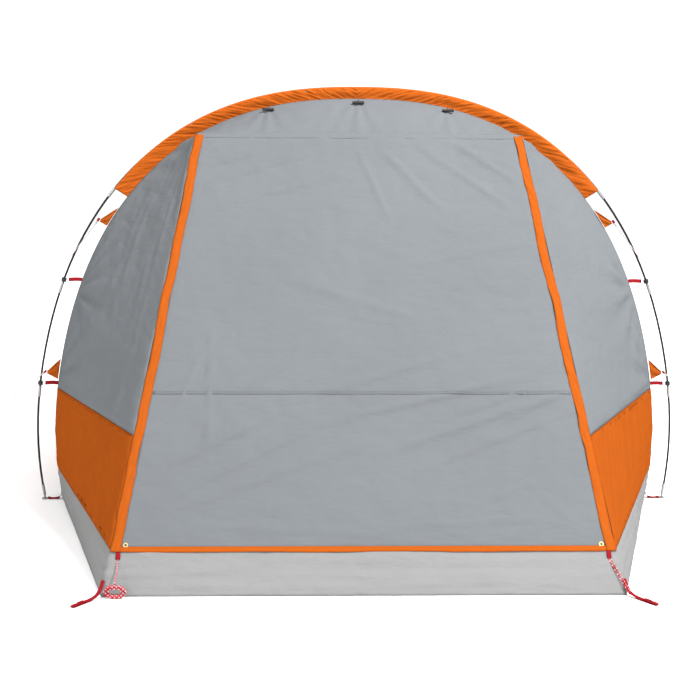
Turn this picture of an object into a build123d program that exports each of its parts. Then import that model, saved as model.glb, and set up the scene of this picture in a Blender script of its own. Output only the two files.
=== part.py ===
from build123d import *
import math
import os

os.makedirs("parts", exist_ok=True)

# Driving dimensions, millimetres. +X is the right-hand side seen from the door, +Y runs back, +Z up.
hoop_half_width = 1305.0        # centre of the rod, front and middle hoops
hoop_height = 1656.0
rear_hoop_half_width = 1190.0
rear_hoop_height = 1420.0
arch_power = 2.4                # 2 is an ellipse, more is squarer
foot_tuck = 32.0                # how far the feet lean in
tuck_height = 420.0

front_bay_length = 1350.0
rear_bay_length = 1450.0
front_reach = 1105.0            # ground edge of the sloping front, ahead of the front hoop
rear_reach = 560.0              # ground edge of the sloping back, behind the rear hoop
peg_loop_reach = 105.0          # webbing loops past the ground edges
peg_loop_splay = 0.8            # how far they turn out to the side, as a share of that
peg_loop_tail = 0.75            # how far they run under the floor, as a share of their width
peg_hole_diameter = 10.0
peg_hole_inset = 16.0
clip_strap_gap = 3.0            # between a clip and its strap
strap_seat = 2.0                # between a strap and the skin it is sewn to

rod_diameter = 8.5
rod_bore = 3.4
shock_cord_diameter = 2.2
rod_section = 440.0             # nominal length of one rod
rod_end_gap = 0.6
ferrule_diameter = 11.4
ferrule_length = 44.0
ferrule_play = 0.6

fabric = 2.0
seam_gap = 0.8                  # between panels that are sewn edge to edge
fly_side_gap = 60.0             # rod centre to the fly at the sides
fly_top_gap = 36.0              # and at the top

sleeve_rise = 9.0
sleeve_depth = 16.0
sleeve_wall = 1.6
sleeve_end_height = 1262.0      # the sleeve ends at this share of the front hoop's height
sleeve_channel_drop = 12.0
sleeve_seat = 2.8               # between the sleeve's lower edge and the fly

strip_height = 130.0            # upstand of the groundsheet
band_height = 465.0             # top of the coloured lower panels
groundsheet_thickness = 1.6

door_top_height = 1478.0
door_top_reach = 165.0
door_top_half = 598.0
door_bottom_half = 835.0        # at the ground, where its edges would meet it
door_gap = 3.0
zip_tape_width = 20.0
zip_tape_thickness = 1.0
flap_width = 33.0
flap_overlap = 9.0
flap_standoff = 1.2
flap_thickness = 1.6
hem_width = 24.0
hem_thickness = 1.2
skin_standoff = 0.3
eyelet_diameter = 17.0
eyelet_hole = 8.5
eyelet_thickness = 1.6
eyelet_inset = 24.0

slider_length = 22.0
slider_width = 11.0
slider_thickness = 5.0
slider_rest_height = 185.0
zip_travel = 1240.0

toggle_length = 46.0
toggle_diameter = 11.0
toggle_side_offset = 350.0
loop_cord_diameter = 3.0
loop_drop = 22.0
loop_anchor_drop = 14.0
toggle_clearance = 4.0

rear_top_height = 1180.0
rear_top_reach = 70.0
rear_top_half = 520.0
rear_header_depth = 5.0         # plumb thickness of the steep rear header
rear_bottom_half = 850.0
vent_width = 420.0
vent_height = 190.0
vent_centre_height = 880.0
vent_flap_margin = 20.0
vent_mesh_thickness = 1.0

cabin_front_setback = 760.0
cabin_rear_setback = 30.0
cabin_inset = 45.0
cabin_fabric = 2.0
cabin_foot_height = 12.0
cabin_door_half = 400.0
cabin_door_top = 1330.0
cabin_door_sill = 70.0
cabin_door_corner = 120.0

clip_heights = (485.0, 905.0)
clip_length = 15.0
clip_wall = 3.6
clip_mouth = 7.0
webbing_width = 15.0
webbing_thickness = 2.2
ring_radius = 11.0
ring_wire = 3.2
pin_height = 16.0
pin_gap = 1.0
foot_strap_width = 18.0
strap_clearance = 1.2

guy_heights = (1156.0, 545.0)
guy_tab_reach = 50.0
guy_tab_drop = 15.0
guy_tab_base = 86.0
guy_tab_thickness = 2.0
guy_clearance = 3.0
guy_peg_out = (1888.0, 1832.0)
guy_peg_back = (42.0, -36.0)    # pegs stand behind and ahead of the tabs, so the lines stay apart
guy_peg_gap = 2.2
guy_tab_gap = 1.0
guyline_diameter = 3.2
guyline_end_height = 26.0
runner_length = 42.0
runner_width = 15.0
runner_thickness = 8.0
runner_play = 0.6
runner_from_peg = 230.0
peg_diameter = 6.0
peg_stand = 52.0
peg_hook = 14.0

awning_cord_diameter = 3.4
sill_loop_x = 812.0
sill_loop_length = 30.0
sill_cord_gap = 2.0
sill_cord_standoff = 0.5          # between the cord and the sill it hangs in front of
hank_length = 76.0
hank_depth = 28.0
hank_height = 44.0
hank_clearance = 0.5
cord_pair_gap = 7.2

# Places that follow from the sizes above.
overall_length = front_reach + front_bay_length + rear_bay_length + rear_reach + 2 * peg_loop_reach
front_edge_y = -overall_length / 2 + peg_loop_reach
hoop_1_y = front_edge_y + front_reach
hoop_2_y = hoop_1_y + front_bay_length
hoop_3_y = hoop_2_y + rear_bay_length
rear_edge_y = hoop_3_y + rear_reach
ferrule_radius = ferrule_diameter / 2
rod_radius = rod_diameter / 2
hoops = (
    ("front", hoop_1_y, hoop_half_width, hoop_height),
    ("middle", hoop_2_y, hoop_half_width, hoop_height),
    ("rear", hoop_3_y, rear_hoop_half_width, rear_hoop_height),
)


def save(name, shape):
    """Write one sub-part."""
    export_step(shape, f"parts/{name}.step")


def arch_xz(half_width, height, angle):
    """A point of a hoop-shaped arch; angle 0 is the right foot and pi the left one."""
    cosine = math.cos(angle)
    side = 1.0 if cosine >= 0 else -1.0
    x = half_width * abs(cosine) ** (2 / arch_power)
    z = height * max(math.sin(angle), 0.0) ** (2 / arch_power)
    if z < tuck_height:
        x -= foot_tuck * (1 - z / tuck_height) ** 2
    return side * x, z


def angle_at_height(height, z):
    """The arch's angle on the right-hand side at height z."""
    return math.asin((z / height) ** (arch_power / 2))


def angle_at_x(half_width, x):
    """The arch's angle where its right-hand side is x out."""
    return math.acos((x / half_width) ** (arch_power / 2))


def arch_offset(half_width, height, angle, out):
    """A point of the arch moved along its outward normal."""
    step = 0.004
    low = max(angle - step, 0.0005)
    high = min(angle + step, math.pi - 0.0005)
    x0, z0 = arch_xz(half_width, height, low)
    x1, z1 = arch_xz(half_width, height, high)
    length = math.hypot(x1 - x0, z1 - z0)
    x, z = arch_xz(half_width, height, angle)
    return x + out * (z1 - z0) / length, z - out * (x1 - x0) / length


def arch_row(half_width, height, start, end, out, y, count=15):
    """Points along the arch from one angle to another, at one station of the tunnel."""
    row = []
    for i in range(count):
        x, z = arch_offset(half_width, height, start + (end - start) * i / (count - 1), out)
        row.append(Vector(x, y, z))
    return row


def side_row(side, row):
    """The row as it is for the right-hand side, mirrored for the left."""
    return [Vector(side * p.X, p.Y, p.Z) for p in row]


def curve(row):
    """A straight line for two points, a spline for more."""
    if len(row) == 2:
        return Edge.make_line(row[0], row[1])
    return Edge.make_spline(row)


def section(outer, inner):
    """A closed thin section between two rows of points."""
    edges = [
        curve(outer),
        Edge.make_line(outer[-1], inner[-1]),
        curve(inner[::-1]),
        Edge.make_line(inner[0], outer[0]),
    ]
    return Wire(edges)


def panel(outer_a, inner_a, outer_b, inner_b):
    """A sewn panel: a ruled solid between two thin sections."""
    return Solid.make_loft([section(outer_a, inner_a), section(outer_b, inner_b)], True)


def fly_size(hoop):
    """Half width and height of the fly inside a hoop."""
    return hoop[2] - fly_side_gap, hoop[3] - fly_top_gap


def arch_length(half_width, height, start, end, steps=400):
    """Length along the arch and the angle at each step."""
    total = 0.0
    marks = [(0.0, start)]
    last = arch_xz(half_width, height, start)
    for i in range(1, steps + 1):
        angle = start + (end - start) * i / steps
        here = arch_xz(half_width, height, angle)
        total += math.dist(last, here)
        marks.append((total, angle))
        last = here
    return total, marks


def angle_at_length(marks, length):
    """The angle at a length along the arch."""
    for (l0, a0), (l1, a1) in zip(marks, marks[1:]):
        if l1 >= length:
            return a0 + (a1 - a0) * (length - l0) / (l1 - l0)
    return marks[-1][1]


def rod_at(hoop, angle):
    """Centre of the rod at an angle of its hoop."""
    x, z = arch_xz(hoop[2], hoop[3], angle)
    return Vector(x, hoop[1], z)


def rod_plane(hoop, angle):
    """A plane across the rod, its x axis pointing outwards."""
    ahead = rod_at(hoop, min(angle + 0.004, math.pi - 0.0001))
    behind = rod_at(hoop, max(angle - 0.004, 0.0001))
    tangent = (ahead - behind).normalized()
    outward = Vector(tangent.Z, 0, -tangent.X)
    return Plane(origin=rod_at(hoop, angle), x_dir=outward, z_dir=tangent)


def bent_tube(start, middle, end, outer, inner=0.0):
    """A round bar or tube bent to the arc through three points."""
    path = Edge.make_three_point_arc(start, middle, end)
    across = Plane(origin=path @ 0, z_dir=path % 0)
    bar = sweep(across * Circle(outer / 2), path=path)
    if inner > 0:
        bar -= sweep(across * Circle(inner / 2), path=path)
    return bar


# ---- Poles: rods in sections, ferrules over their joints, an elastic cord down the bore ----
ferrules = []
shock_cords = []
for hoop in hoops:
    name, hoop_y, half_width, height = hoop
    foot_start = angle_at_height(height, pin_height)
    total, marks = arch_length(half_width, height, foot_start, math.pi - foot_start)
    sections = round(total / rod_section)
    rods = []
    joints = []
    for i in range(sections):
        begin = total * i / sections + rod_end_gap / 2
        finish = total * (i + 1) / sections - rod_end_gap / 2
        angles = [angle_at_length(marks, begin + (finish - begin) * f) for f in (0, 0.5, 1)]
        ends = [rod_at(hoop, a) for a in angles]
        rods.append(bent_tube(*ends, rod_diameter, rod_bore))
        shock_cords.append(bent_tube(*ends, shock_cord_diameter))
    for i in range(sections + 1):
        along = min(max(total * i / sections, ferrule_length / 2), total - ferrule_length / 2)
        joints.append(angle_at_length(marks, along))
    save(f"{name}_pole_rods", Compound(children=rods))
    for angle in joints:
        tube = Cylinder(ferrule_radius, ferrule_length) - Cylinder(rod_radius + ferrule_play, ferrule_length)
        ferrules.append(rod_plane(hoop, angle) * tube)
save("pole_ferrules", Compound(children=ferrules))
save("pole_shock_cords", Compound(children=shock_cords))

# ---- Pole sleeves: a flat tube of cloth from shoulder to shoulder ----
for hoop in hoops:
    name, hoop_y, half_width, height = hoop
    end_height = sleeve_end_height * height / hoop_height
    start = angle_at_height(height, end_height)
    fly_half, fly_top = fly_size(hoop)

    def band(top_out, low_size, low_out, spread):
        """Flat region between the rod's arch and a lower arch."""
        first = start - spread
        outer = arch_row(half_width, height, first, math.pi - first, top_out, 0, 31)
        inner = arch_row(low_size[0], low_size[1], first, math.pi - first, low_out, 0, 31)
        return make_face(section(outer, inner))

    skin = band(sleeve_rise, (fly_half, fly_top), sleeve_seat, 0.0)
    hollow = band(sleeve_rise - sleeve_wall, (half_width, height), -sleeve_channel_drop, 0.02)
    body = extrude(skin, sleeve_depth / 2, (0, 1, 0), both=True)
    channel = extrude(hollow, sleeve_depth / 2 - sleeve_wall, (0, 1, 0), both=True)
    save(f"{name}_pole_sleeve", Pos(0, hoop_y, 0) * (body - channel))

# ---- Fly between the hoops: a roof and two lower panels to each bay ----
for bay, hoop_a, hoop_b in (("front_bay", hoops[0], hoops[1]), ("rear_bay", hoops[1], hoops[2])):
    rows = {}
    for key, hoop, y in (("a", hoop_a, hoop_a[1] + seam_gap / 2), ("b", hoop_b, hoop_b[1] - seam_gap / 2)):
        wide, tall = fly_size(hoop)
        seam = angle_at_height(tall, band_height + seam_gap / 2)
        below = angle_at_height(tall, band_height - seam_gap / 2)
        hem = angle_at_height(tall, strip_height + seam_gap / 2)
        rows[key] = (
            arch_row(wide, tall, seam, math.pi - seam, 0, y, 27),
            arch_row(wide, tall, seam, math.pi - seam, -fabric, y, 27),
            arch_row(wide, tall, hem, below, 0, y, 7),
            arch_row(wide, tall, hem, below, -fabric, y, 7),
        )
    save(f"{bay}_roof", panel(rows["a"][0], rows["a"][1], rows["b"][0], rows["b"][1]))
    for side, label in ((-1, "left"), (1, "right")):
        parts = [side_row(side, rows[key][i]) for key in ("a", "b") for i in (2, 3)]
        save(f"{bay}_lower_{label}", panel(*parts))


# ---- Sloping ends: both have a flat middle, two side panels and a header up to the hoop ----
class SlopingEnd:
    """Geometry of one end: a flat middle panel leaning out from the hoop to the ground."""

    def __init__(self, hoop, facing, reach, top_reach, top_height, top_half, bottom_half):
        self.hoop = hoop
        self.facing = facing
        self.reach = reach
        self.top_height = top_height
        self.top_half = top_half
        self.bottom_half = bottom_half
        self.lean = (reach - top_reach) / top_height
        self.fly_half, self.fly_top = fly_size(hoop)
        up = Vector(0, -facing * self.lean, 1).normalized()
        self.slant = up.Z
        self.plane = Plane(
            origin=(0, self.y_at(top_height), top_height),
            x_dir=(-facing, 0, 0),
            z_dir=Vector(0, facing, self.lean).normalized(),
        )

    def y_at(self, z):
        """Station of the flat middle panel at height z."""
        return self.hoop[1] + self.facing * (self.reach - self.lean * z)

    def half_at(self, z):
        """Half width of the middle panel at height z."""
        share = (self.top_height - z) / self.top_height
        return self.top_half + (self.bottom_half - self.top_half) * share

    def local_y(self, z):
        """Height z measured along the panel's own plane, down from its top edge."""
        return (z - self.top_height) / self.slant

    def edge_row(self, side, low, high, out, inward):
        """The straight edge that a side panel is sewn to."""
        row = []
        for z in (low, high):
            x = side * (self.half_at(z) + out - 0.75 * inward)
            row.append(Vector(x, self.y_at(z) - self.facing * 0.6 * inward, z))
        return row

    def side_panel(self, side, low, high, arch_high, out):
        """A panel between the hoop and the middle panel's edge."""
        y = self.hoop[1] + self.facing * seam_gap / 2
        start = angle_at_height(self.fly_top, low)
        outer = side_row(side, arch_row(self.fly_half, self.fly_top, start, arch_high, 0, y, 13))
        inner = side_row(side, arch_row(self.fly_half, self.fly_top, start, arch_high, -fabric, y, 13))
        edge_out = self.edge_row(side, low, high, out, 0.0)
        edge_in = self.edge_row(side, low, high, out, fabric)
        return panel(outer, inner, edge_out, edge_in)

    def header(self, out, gap, depth):
        """The panel from the hoop's top down to the middle panel's top edge; depth is its thickness plumb down."""
        y = self.hoop[1] + self.facing * seam_gap / 2
        start = angle_at_x(self.fly_half, self.top_half + out) + seam_gap / self.fly_top
        outer = arch_row(self.fly_half, self.fly_top, start, math.pi - start, 0, y, 21)
        inner = arch_row(self.fly_half, self.fly_top, start, math.pi - start, -depth, y, 21)
        z = self.top_height + gap
        x = self.half_at(z) + out - seam_gap
        edge_out = [Vector(x, self.y_at(z), z), Vector(-x, self.y_at(z), z)]
        edge_in = [p - Vector(0, 0, depth) for p in edge_out]
        return panel(outer, inner, edge_out, edge_in)

    def slab(self, points, base, thickness):
        """A flat piece lying on the middle panel's plane, base above its outer face."""
        face = make_face(Polyline(*points, close=True))
        return self.plane * Pos(0, 0, base) * extrude(face, thickness)


front = SlopingEnd(hoops[0], -1, front_reach, door_top_reach, door_top_height, door_top_half, door_bottom_half)
rear = SlopingEnd(hoops[2], 1, rear_reach, rear_top_reach, rear_top_height, rear_top_half, rear_bottom_half)

zip_out = door_gap + zip_tape_width + fabric
rear_out = fabric
for end, label, out in ((front, "front", zip_out), (rear, "rear", rear_out)):
    arch_top = angle_at_x(end.fly_half, end.half_at(end.top_height) + out)
    band_angle = angle_at_height(end.fly_top, band_height - seam_gap / 2)
    for side, hand in ((-1, "left"), (1, "right")):
        upper = end.side_panel(side, band_height + seam_gap / 2, end.top_height, arch_top, out)
        lower = end.side_panel(side, strip_height + seam_gap / 2, band_height - seam_gap / 2, band_angle, out)
        save(f"{label}_side_upper_{hand}", upper)
        save(f"{label}_side_lower_{hand}", lower)
save("front_header", front.header(zip_out, door_gap, fabric))

# ---- Front door with its hem, storm flaps, zip tapes, sliders and eyelets ----
door_low = front.local_y(strip_height + door_gap)
door_high = -door_gap / 2
low_half = front.half_at(strip_height + door_gap)
door = front.slab(
    [(-low_half, door_low), (low_half, door_low), (door_top_half, door_high), (-door_top_half, door_high)],
    -fabric,
    fabric,
)
save("front_door", door)
hem_half = front.half_at(strip_height + hem_width)
hem_top = door_low + hem_width
hem_outline = [(-low_half, door_low), (low_half, door_low), (hem_half, hem_top), (-hem_half, hem_top)]
save("door_hem", front.slab(hem_outline, skin_standoff, hem_thickness))

eyelets = []
eyelet_base = skin_standoff * 2 + hem_thickness
eyelet_x = low_half - eyelet_inset
for side in (-1, 1):
    ring = Cylinder(eyelet_diameter / 2, eyelet_thickness) - Cylinder(eyelet_hole / 2, eyelet_thickness)
    place = Pos(side * eyelet_x, door_low + hem_width / 2, eyelet_base + eyelet_thickness / 2)
    eyelets.append(front.plane * place * ring)
save("door_eyelets", Compound(children=eyelets))

tape_low = front.local_y(strip_height + door_gap)
tape_high = front.local_y(door_top_height - door_gap)
slider_low = front.local_y(slider_rest_height)
for side, hand in ((-1, "left"), (1, "right")):
    flap = []
    tape = []
    flap_low = door_low + hem_width + seam_gap
    for y, reach in ((flap_low, 0), (flap_low, 1), (door_high, 1), (door_high, 0)):
        half = front.half_at(door_top_height + y * front.slant)
        flap.append((side * (half - flap_overlap + reach * flap_width), y))
    for y, reach in ((tape_low, 0), (tape_low, 1), (tape_high, 1), (tape_high, 0)):
        half = front.half_at(door_top_height + y * front.slant)
        tape.append((side * (half + door_gap + reach * zip_tape_width), y))
    save(f"storm_flap_{hand}", front.slab(flap, flap_standoff, flap_thickness))
    save(f"door_zip_{hand}", front.slab(tape, -fabric / 2 - zip_tape_thickness / 2, zip_tape_thickness))
    half = front.half_at(slider_rest_height)
    rise = front.local_y(door_top_height) - slider_low
    turn = math.degrees(math.atan2(half - door_top_half, rise))
    block = Box(slider_width, slider_length, slider_thickness)
    block -= Pos(0, slider_length * 0.3, 0) * Box(slider_width * 0.25, slider_length * 0.45, slider_thickness)
    block = fillet(block.edges().filter_by(Axis.Z).group_by(Axis.Y)[0], slider_width * 0.3)
    depth = -fabric / 2 - zip_tape_thickness / 2 - skin_standoff - slider_thickness / 2
    centre = half + door_gap + slider_width / 2 + skin_standoff
    place = Pos(side * centre, slider_low, depth) * Rot(0, 0, side * turn)
    save(f"zip_slider_{hand}", front.plane * place * block)

# ---- Toggles on elastic loops that hold the rolled door ----
toggle_loops = []
for offset, label in ((-toggle_side_offset, "left"), (0.0, "middle"), (toggle_side_offset, "right")):
    angle = math.acos((abs(offset) / front.fly_half) ** (arch_power / 2))
    arch_top = arch_xz(front.fly_half, front.fly_top, angle)[1]
    lean = (hoop_1_y - front.y_at(door_top_height)) / (arch_top - door_top_height)
    out = Vector(0, -1, lean).normalized()
    down = Vector(0, -lean, -1).normalized()
    top = Vector(offset, hoop_1_y, arch_top)
    anchor = top + down * loop_anchor_drop + out * (loop_cord_diameter / 2 + toggle_clearance)
    centre = top + down * (loop_anchor_drop + loop_drop) + out * (toggle_diameter / 2 + toggle_clearance)
    span = centre - anchor
    stem_length = span.length - toggle_diameter / 2 - skin_standoff
    stem = Plane(origin=anchor, z_dir=span, x_dir=(1, 0, 0)) * Pos(0, 0, stem_length / 2) * Cylinder(
        loop_cord_diameter / 2, stem_length)
    toggle_loops.append(stem)
    bar = Rot(0, 90, 0) * Cylinder(toggle_diameter / 2, toggle_length)
    bar = fillet(bar.edges(), toggle_diameter * 0.3)
    save(f"toggle_{label}", Pos(*centre) * bar)
    print(f"toggle {label} hinge at {anchor}")
save("toggle_loops", Compound(children=toggle_loops))

# ---- Rear end panel, its vent and the flap over it ----
rear_low = rear.local_y(strip_height + fabric)
rear_low_half = rear.half_at(strip_height)
outline = [
    (-rear_low_half, rear_low),
    (rear_low_half, rear_low),
    (rear_top_half, 0),
    (-rear_top_half, 0),
]
vent_y = rear.local_y(vent_centre_height)
vent_hole = rear.plane * Pos(0, vent_y, -fabric / 2) * Box(vent_width, vent_height, fabric * 3)
rear_panel = rear.slab(outline, -fabric, fabric) - vent_hole
save("rear_end_panel", rear_panel + rear.header(rear_out - seam_gap, -fabric, rear_header_depth))
mesh_sheet = Box(vent_width + 2 * vent_flap_margin, vent_height + 2 * vent_flap_margin, vent_mesh_thickness)
mesh_depth = -fabric - skin_standoff - vent_mesh_thickness / 2
save("rear_vent_mesh", rear.plane * Pos(0, vent_y, mesh_depth) * mesh_sheet)
flap_sheet = Box(vent_width + 2 * vent_flap_margin, vent_height + 2 * vent_flap_margin, fabric)
flap_sheet = fillet(flap_sheet.edges().filter_by(Axis.Z).group_by(Axis.Y)[0], vent_flap_margin)
save("rear_vent_flap", rear.plane * Pos(0, vent_y, skin_standoff + fabric / 2) * flap_sheet)


# ---- Groundsheet: a tray with an upstand that the fly is sewn to ----
def footprint(z, inset):
    """Corners of the tent's base at height z, moved in by an inset."""
    corners = []
    for end, out in ((front, zip_out), (rear, rear_out)):
        x = end.half_at(z) + out - inset
        corners.append((x, end.y_at(z) - end.facing * inset, z))
    wide, tall = fly_size(hoops[0])
    mid_x = arch_xz(wide, tall, angle_at_height(tall, max(z, 1.0)))[0] - inset
    wide, tall = fly_size(hoops[2])
    rear_x = arch_xz(wide, tall, angle_at_height(tall, max(z, 1.0)))[0] - inset
    right = [corners[0], (mid_x, hoop_1_y, z), (mid_x, hoop_2_y, z), (rear_x, hoop_3_y, z), corners[1]]
    left = [(-x, y, z) for x, y, z in right[::-1]]
    return Wire.make_polygon([Vector(*p) for p in right + left], close=True)


tray = Solid.make_loft([footprint(0, 0), footprint(strip_height, 0)], True)
well = Solid.make_loft(
    [footprint(groundsheet_thickness, groundsheet_thickness), footprint(strip_height, groundsheet_thickness)],
    True,
)
save("groundsheet", tray - well)


# ---- Inner cabin: hung inside the fly, with a framed doorway and a door that swings ----
def cabin_row(y, out, low, count=23):
    """The cabin's arch at a station, shrunk with the fly as it narrows to the rear."""
    share = min(max((y - hoop_2_y) / rear_bay_length, 0.0), 1.0)
    wide_a, tall_a = fly_size(hoops[1])
    wide_b, tall_b = fly_size(hoops[2])
    wide = wide_a + (wide_b - wide_a) * share - cabin_inset
    tall = tall_a + (tall_b - tall_a) * share - cabin_inset
    start = angle_at_height(tall, low)
    return arch_row(wide, tall, start, math.pi - start, out, y, count)


cabin_front_y = hoop_1_y + cabin_front_setback
cabin_rear_y = hoop_3_y - cabin_rear_setback
low = cabin_foot_height
stations = (cabin_front_y, hoop_2_y, cabin_rear_y)
shell = None
for y0, y1 in zip(stations, stations[1:]):
    piece = panel(cabin_row(y0, 0, low), cabin_row(y0, -cabin_fabric, low),
                  cabin_row(y1, 0, low), cabin_row(y1, -cabin_fabric, low))
    shell = piece if shell is None else shell + piece


def cabin_wall(y, toward):
    """A flat end wall of the cabin."""
    row = cabin_row(y, -cabin_fabric / 2, low)
    face = make_face(Wire([curve(row), Edge.make_line(row[-1], row[0])]))
    return extrude(face, cabin_fabric, (0, toward, 0))


door_mid = (cabin_door_top + cabin_door_sill) / 2
door_tall = cabin_door_top - cabin_door_sill
doorway = RectangleRounded(2 * cabin_door_half, door_tall, cabin_door_corner)
doorway = extrude(Plane.XZ * doorway, 4 * cabin_fabric, both=True)
doorway = Pos(0, cabin_front_y, door_mid) * doorway
save("cabin_shell", shell + (cabin_wall(cabin_front_y, 1) - doorway) + cabin_wall(cabin_rear_y, -1))
leaf = RectangleRounded(2 * (cabin_door_half - door_gap), door_tall - 2 * door_gap, cabin_door_corner - door_gap)
leaf = extrude(Plane.XZ * leaf, cabin_fabric)
save("cabin_door", Pos(0, cabin_front_y + cabin_fabric, door_mid) * leaf)

# ---- Clips on the rods with their straps, and the ring, pin and strap at each foot ----
clips = []
straps = []
rings = []
foot_straps = []
clip_bore = ferrule_radius + ferrule_play
for hoop in hoops:
    wide, tall = fly_size(hoop)
    for height in clip_heights:
        z = height * hoop[3] / hoop_height
        angle = angle_at_height(hoop[3], z)
        clip = Cylinder(clip_bore + clip_wall, clip_length) - Cylinder(clip_bore, clip_length)
        clip -= Pos(clip_bore + clip_wall, 0, 0) * Box(2 * clip_wall + 4, clip_mouth, clip_length)
        placed = rod_plane(hoop, angle) * clip
        rod_x = arch_xz(hoop[2], hoop[3], angle)[0]
        fly_x = arch_xz(wide, tall, angle_at_height(tall, z))[0]
        outer_x = rod_x - clip_bore - clip_wall - skin_standoff - clip_strap_gap
        strap_x = (fly_x + 1.5 * skin_standoff + outer_x) / 2
        strap = Box(outer_x - fly_x - 1.5 * skin_standoff - 2 * strap_seat, webbing_thickness, webbing_width)
        strap = Pos(strap_x + strap_seat, hoop[1], z) * strap
        for side in (-1, 1):
            clips.append(placed if side > 0 else mirror(placed, Plane.YZ))
            straps.append(strap if side > 0 else mirror(strap, Plane.YZ))
    foot = arch_xz(hoop[2], hoop[3], angle_at_height(hoop[3], pin_height))[0]
    ring = Cylinder(ring_radius + ring_wire / 2, ring_wire) - Cylinder(ring_radius - ring_wire / 2, ring_wire)
    bar = Box(2 * ring_radius, rod_radius, ring_wire)
    pin_tall = pin_height - pin_gap
    pin = Pos(0, 0, pin_tall / 2) * Cylinder(rod_radius, pin_tall)
    fitting = Pos(foot, hoop[1], 0) * (Pos(0, 0, ring_wire / 2) * (ring + bar) + pin)
    base_x = arch_xz(wide, tall, angle_at_height(tall, 2 * webbing_thickness))[0] + strap_clearance
    reach_x = foot - ring_radius - ring_wire / 2 - skin_standoff
    foot_strap = Box(reach_x - base_x, foot_strap_width, webbing_thickness)
    foot_strap = Pos((base_x + reach_x) / 2, hoop[1], webbing_thickness / 2) * foot_strap
    for side in (-1, 1):
        rings.append(fitting if side > 0 else mirror(fitting, Plane.YZ))
        foot_straps.append(foot_strap if side > 0 else mirror(foot_strap, Plane.YZ))
save("pole_clips", Compound(children=clips))
save("clip_straps", Compound(children=straps))
save("foot_ring_pins", Compound(children=rings))
save("foot_straps", Compound(children=foot_straps))

# ---- Webbing loops: for pegs at the four ground corners, and for a cord at each end of the sill ----
peg_loops = []
for end, out in ((front, zip_out), (rear, rear_out)):
    corner_x = end.half_at(0) + out + skin_standoff
    corner_y = end.y_at(0) + end.facing * skin_standoff
    tip = Vector(corner_x + peg_loop_reach * peg_loop_splay, end.y_at(0) + end.facing * peg_loop_reach, 0)
    along = Vector(tip.X - corner_x, tip.Y - corner_y, 0).normalized()
    across = Vector(-along.Y, along.X, 0)
    half = across * (webbing_width / 2)
    back = Vector(corner_x, corner_y, 0) + along * (webbing_width * peg_loop_tail)
    front_mid = tip - along * (abs(across.Y) * webbing_width / 2 / abs(along.Y) if along.Y else 0)
    face = make_face(Polyline(back - half, front_mid - half, front_mid + half, back + half, close=True))
    strap = extrude(face, webbing_thickness, (0, 0, 1))
    hole_at = front_mid - along * peg_hole_inset
    strap -= Pos(hole_at.X, hole_at.Y, 0) * Cylinder(peg_hole_diameter / 2, 4 * webbing_thickness)
    for side in (-1, 1):
        peg_loops.append(strap if side > 0 else mirror(strap, Plane.YZ))
sill_loop_y = front.local_y(strip_height - seam_gap) - sill_loop_length / 2
sill_loop_base = skin_standoff + webbing_thickness / 2
for side in (-1, 1):
    sill_loop = Box(webbing_width, sill_loop_length, webbing_thickness)
    peg_loops.append(front.plane * Pos(side * sill_loop_x, sill_loop_y, sill_loop_base) * sill_loop)
save("webbing_loops", Compound(children=peg_loops))

# ---- Guy tabs, guylines, runners and pegs on the front hoop ----
guy_y = hoop_1_y - sleeve_depth / 2 - guy_tab_thickness - guy_clearance
tabs = []
pegs = []
for height, level, peg_out, peg_back in zip(guy_heights, ("upper", "lower"), guy_peg_out, guy_peg_back):
    wide, tall = fly_size(hoops[0])
    angle = angle_at_height(tall, height)
    base = arch_offset(wide, tall, angle, skin_standoff)
    ahead = arch_offset(wide, tall, angle + 0.01, skin_standoff)
    tangent = Vector(ahead[0] - base[0], 0, ahead[1] - base[1]).normalized()
    middle = Vector(base[0], guy_y, base[1])
    peg_foot = Vector(peg_out + peg_diameter / 2 + guy_peg_gap, guy_y + peg_back, 0)
    line_end = Vector(peg_out, guy_y + peg_back, guyline_end_height)
    tip = middle + Vector(guy_tab_reach, 0, -guy_tab_drop)
    pull = (line_end - tip).normalized()
    corners = [middle - tangent * (guy_tab_base / 2), tip, middle + tangent * (guy_tab_base / 2)]
    face = make_face(Polyline(*corners, close=True))
    tab = thicken(face, guy_tab_thickness / 2, both=True)
    line_start = tip + pull * guy_tab_gap
    length = (line_end - line_start).length
    run = Plane(origin=line_start, z_dir=pull, x_dir=(0, 1, 0))
    line = run * Pos(0, 0, length / 2) * Cylinder(guyline_diameter / 2, length)
    runner = Box(runner_thickness, runner_width, runner_length)
    runner = fillet(runner.edges().filter_by(Axis.X), runner_width * 0.3)
    runner -= Cylinder(guyline_diameter / 2 + runner_play, runner_length)
    runner = run * Pos(0, 0, length - runner_from_peg) * runner
    stake = Cylinder(peg_diameter / 2, peg_stand, align=(Align.CENTER, Align.CENTER, Align.MIN))
    hook = Pos(0, 0, peg_stand - peg_diameter / 2) * Rot(0, -90, 0) * Cylinder(
        peg_diameter / 2, peg_hook, align=(Align.CENTER, Align.CENTER, Align.MIN))
    peg = Pos(*peg_foot) * (stake + hook)
    print(f"guyline {level}: {length:.1f} mm from {line_start} to {line_end}")
    for side, hand in ((-1, "left"), (1, "right")):
        flip = (lambda shape: shape) if side > 0 else (lambda shape: mirror(shape, Plane.YZ))
        tabs.append(flip(tab))
        pegs.append(flip(peg))
        save(f"guyline_{level}_{hand}", flip(line))
        save(f"guy_runner_{level}_{hand}", flip(runner))
save("guy_tabs", Compound(children=tabs))
save("guyline_pegs", Compound(children=pegs))

# ---- Cords at the sill: a wound hank on the left, a doubled cord pulled tight on the right ----
cord_seat = awning_cord_diameter / 2 + sill_cord_standoff
loop_end = front.plane.from_local_coords((0, sill_loop_y - sill_loop_length / 2 - sill_cord_gap, cord_seat))
cord_top_y = loop_end.Y
cord_top_z = loop_end.Z


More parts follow.
